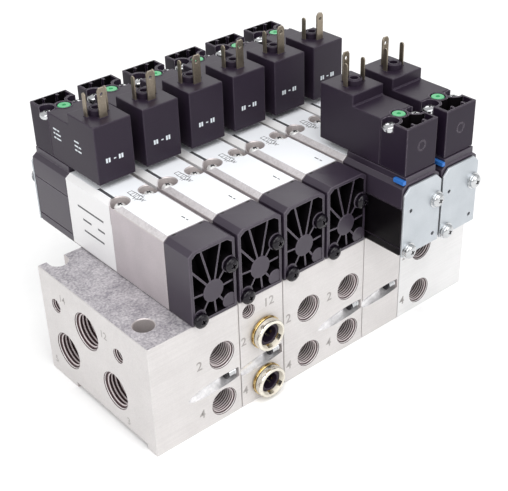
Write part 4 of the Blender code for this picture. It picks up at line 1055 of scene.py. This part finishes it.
def make_pilots():
    """Adaptors, cover plates, coils, blades and override buttons of every pilot."""
    adaptors = {"rear": pilot_adaptor(BODY_HIGH.y + 0.3), "front": pilot_adaptor(-BODY_LOW.y + 0.3)}
    plate = cover_plate()
    zinc_head = pan_head(2.5, 2.1, 1.3, washer=2.95)
    coil_screw = pan_head(2.55, 1.9, 1.3)
    coil, head, boss, terminals, roots = coil_housing(), coil_head(), plug_boss(), blades(), blade_roots()
    button, dot, slider = button_pieces()
    print_inner, print_side = coil_prints()
    for tag in TAGS:
        end, station = tag.split("_")
        turn = 0 if end == "rear" else 180
        where = dict(offset=(STATION_X[int(station)], 0, 0), turn=turn)
        place(adaptors[end], f"pilot_adaptor_{tag}", [BLACK, SIDE_SHADE_BLACK], stands_for=(f"pilot_body_{tag}",),
              slot="black_plastic", sort=adaptor_skin(end), **where)
        stands = (f"cover_plate_{tag}",) if end == "front" else ()
        place(plate, f"cover_{tag}", PLATE, stands_for=stands, slot="zinc_plate", **where)
        heads = [aimed(zinc_head, (-x, PLATE_FRONT + 1.1, z), (0, 1, 0)) for x, z in (HIGH_SCREW, LOW_SCREW)]
        place(gather(heads), f"cover_screws_{tag}", [BRIGHT, RECESS_SHADE], slot="bright_screw", crisp=28, **where)
        place(coil, f"coil_{tag}", COIL_BLACK, stands_for=(f"solenoid_{tag}",), slot="coil_plastic", **where)
        place(head, f"coil_head_{tag}", [HEAD_BLACK, SHADE_BLACK], slot="coil_plastic", sort=head_skin,
              **where)
        place(boss, f"plug_boss_{tag}", COIL_BLACK, slot="coil_plastic", crisp=25, **where)
        place(roots, f"blade_lips_{tag}", COIL_BLACK, slot="coil_plastic", **where)
        place(terminals, f"blades_{tag}", BLADE, slot="blade_brass", **where)
        screws = [moved(coil_screw, (x, COIL_SCREW_Y, COIL_LOW - 2.95))
                  for x in (-COIL_SCREW_X, COIL_SCREW_X)]
        place(gather(screws), f"coil_screws_{tag}", [BRIGHT, RECESS_SHADE], slot="bright_screw", crisp=28, **where)
        place(slider, f"override_ring_{tag}", HEAD_BLACK, slot="coil_plastic", crisp=25, **where)
        place(button, f"button_{tag}", GREEN, body=f"override_button_{tag}",
              stands_for=(f"override_button_{tag}",), slot="green_plastic", crisp=25, **where)
        place(dot, f"button_dot_{tag}", GREEN_DOT, body=f"override_button_{tag}", slot="green_plastic",
              **where)
        place(print_inner, f"coil_print_{tag}", PALE_INK, slot="light_print", **where)
        if end == "rear":
            place(print_side, f"coil_side_print_{tag}", PALE_INK, slot="light_print", **where)
        else:
            x = STATION_X[int(station)]
            place(block((x - 8.7, -52.4, 69.9), (x - 7.3, -47.8, 71.4), 0.2), f"gasket_tab_{station}", BLUE,
                  slot="blue_plastic")


# ---- push-in cartridges ---------------------------------------------------------------------
def ring_skin(centre):
    """The bore behind a cartridge's bright front ring is 1 and takes a painted highlight."""
    def choose(face):
        reach = face.center / MM - centre
        return int(reach.y < 1.8 and math.hypot(reach.x, reach.z) < 4.68)
    return choose


def make_cartridges():
    """Bevelled ring and barrel, brass grip ring with slots, and black release collet with a brass tooth."""
    depth = CARTRIDGE_HIGH.y - CARTRIDGE_LOW.y
    inward = (0, 1, 0)
    for key, z in CARTRIDGE_Z.items():
        centre = Vector((CARTRIDGE_X, CARTRIDGE_LOW.y, z))
        ring = turned([(4.7, 0.0), (5.05, 0.0), (5.55, 0.22), (5.75, 0.6), (5.75, 2.35), (5.3, 2.5),
                       (4.6, 2.5), (4.6, depth), (2.4, depth), (2.4, 10.5), (3.85, 10.5), (3.85, 3.7),
                       (4.1, 3.7), (4.1, 1.55), (4.66, 0.15), (4.7, 0.0)], centre, inward, 64)
        notches = [spoke_block(centre + Vector((0, 1.4, 0)), math.radians(angle), 4.4, (1.3, 2.2, 2.1))
                   for angle in (-35, -95, 145)]
        place(combine(ring, notches), f"cartridge_{key}_ring", [NICKEL, NICKEL_RIM_HIGHLIGHT],
              stands_for=(f"cartridge_{key}",), slot="nickel_plate", crisp=28, sort=ring_skin(centre))
        grip = turned([(4.55, 2.6), (5.9, 2.6), (6.0, 2.75), (6.0, 3.6), (5.9, 3.7), (4.55, 3.7),
                       (4.55, 2.6)], centre, inward, 64)
        slots = [spoke_block(centre + Vector((0, 3.15, 0)), math.tau * index / 12, 5.9, (0.9, 0.55, 1.7))
                 for index in range(12)]
        place(combine(grip, slots), f"cartridge_{key}_grip", GOLDEN, slot="nickel_plate", crisp=28)
        collet = turned([(3.05, 0), (3.2, -0.02), (3.9, 0.05), (4.0, 0.2), (4.0, 1.0), (3.5, 1.0), (3.5, 6.0),
                         (3.05, 6.0), (3.05, 0)], centre + Vector((0, 1.6, 0)), inward, 48)
        cuts = [spoke_block(centre + Vector((0, 5.9, 0)), math.tau * (index + 0.35) / 4, 3.3, (2.0, 5.0, 0.6))
                for index in range(4)]
        place(combine(collet, cuts), f"collet_{key}_sleeve", COIL_BLACK, body=f"collet_{key}",
              stands_for=(f"collet_{key}",), slot="collet_plastic", crisp=28)
        tooth, reach = centre + Vector((2.5, 4.0, -1.45)), Vector((0.2, 0.5, 0.5))
        place(block(tooth - reach, tooth + reach, 0.08), f"collet_{key}_tooth", GOLDEN, body=f"collet_{key}",
              slot="nickel_plate")


def finish_inner_pieces():
    """Spools and armatures keep their CAD shape and take a ground steel finish."""
    for name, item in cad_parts.items():
        if name.startswith(("spool_", "armature_")):
            item.data.materials.clear()
            item.data.materials.append(STEEL)


# ---- studio ---------------------------------------------------------------------------------
def soft_light(name, place_at, aim, size, power):
    """A rectangular lamp aimed at a point."""
    lamp = bpy.data.lights.new(name, "AREA")
    lamp.shape = "RECTANGLE"
    lamp.size, lamp.size_y = size
    lamp.energy = power
    item = bpy.data.objects.new(name, lamp)
    bpy.context.scene.collection.objects.link(item)
    item.location = place_at
    item.rotation_euler = (Vector(aim) - Vector(place_at)).to_track_quat("-Z", "Y").to_euler()


SOFT_LIGHTS = {                           # place and aim in metres, size in metres, power in watts
    "key": ((-0.70, -0.30, 0.60), (0, 0, 0.05), (0.5, 0.5), 2.4),
    "overhead": ((-0.10, -0.42, 0.85), (0, 0, 0.05), (0.7, 0.6), 4.4),
    "fill": ((0.30, -0.90, 0.40), (0, 0, 0.05), (0.6, 0.5), 1.7),
    "back": ((0.55, 0.62, 0.55), (0, 0, 0.06), (0.6, 0.4), 1.4),
}


def make_studio():
    """White surroundings, a pale floor and four soft lights."""
    scene = bpy.context.scene
    scene.view_settings.view_transform = "Standard"
    world = bpy.data.worlds.new("studio")
    scene.world = world
    world.use_nodes = True
    world.node_tree.nodes["Background"].inputs["Color"].default_value = (1, 1, 1, 1)
    world.node_tree.nodes["Background"].inputs["Strength"].default_value = 0.72
    bm = bmesh.new()
    bmesh.ops.create_grid(bm, x_segments=1, y_segments=1, size=3.0)
    sheet = bpy.data.meshes.new("studio_floor")
    bm.to_mesh(sheet)
    bm.free()
    sheet.materials.append(finish("pale_studio_floor", (0.93, 0.93, 0.93), (0.95, 0.95, 0.95), (0.8, 0.9),
                                  grain=5, patch=200, bump=0.0, specular=0.1))
    floor = bpy.data.objects.new("studio_floor", sheet)
    scene.collection.objects.link(floor)
    for name, settings in SOFT_LIGHTS.items():
        soft_light(name, *settings)


CAMERA_PLACE = (-0.20888, -0.25287, 0.23950)        # metres
CAMERA_TURN = (57.6135, 1.5711, -40.5010)           # degrees about X, Y and Z
CAMERA_LENS = 75.4                                  # millimetres, on a 36 mm wide sensor


def make_camera():
    """The camera that frames the whole valve bank from its front left corner."""
    lens = bpy.data.cameras.new("camera")
    lens.lens = CAMERA_LENS
    lens.sensor_width = 36
    lens.clip_start = 0.01
    item = bpy.data.objects.new("camera", lens)
    bpy.context.scene.collection.objects.link(item)
    item.location = CAMERA_PLACE
    item.rotation_euler = [math.radians(angle) for angle in CAMERA_TURN]
    bpy.context.scene.camera = item


make_base()
make_valves()
make_pilots()
make_cartridges()
finish_inner_pieces()
make_studio()
make_camera()
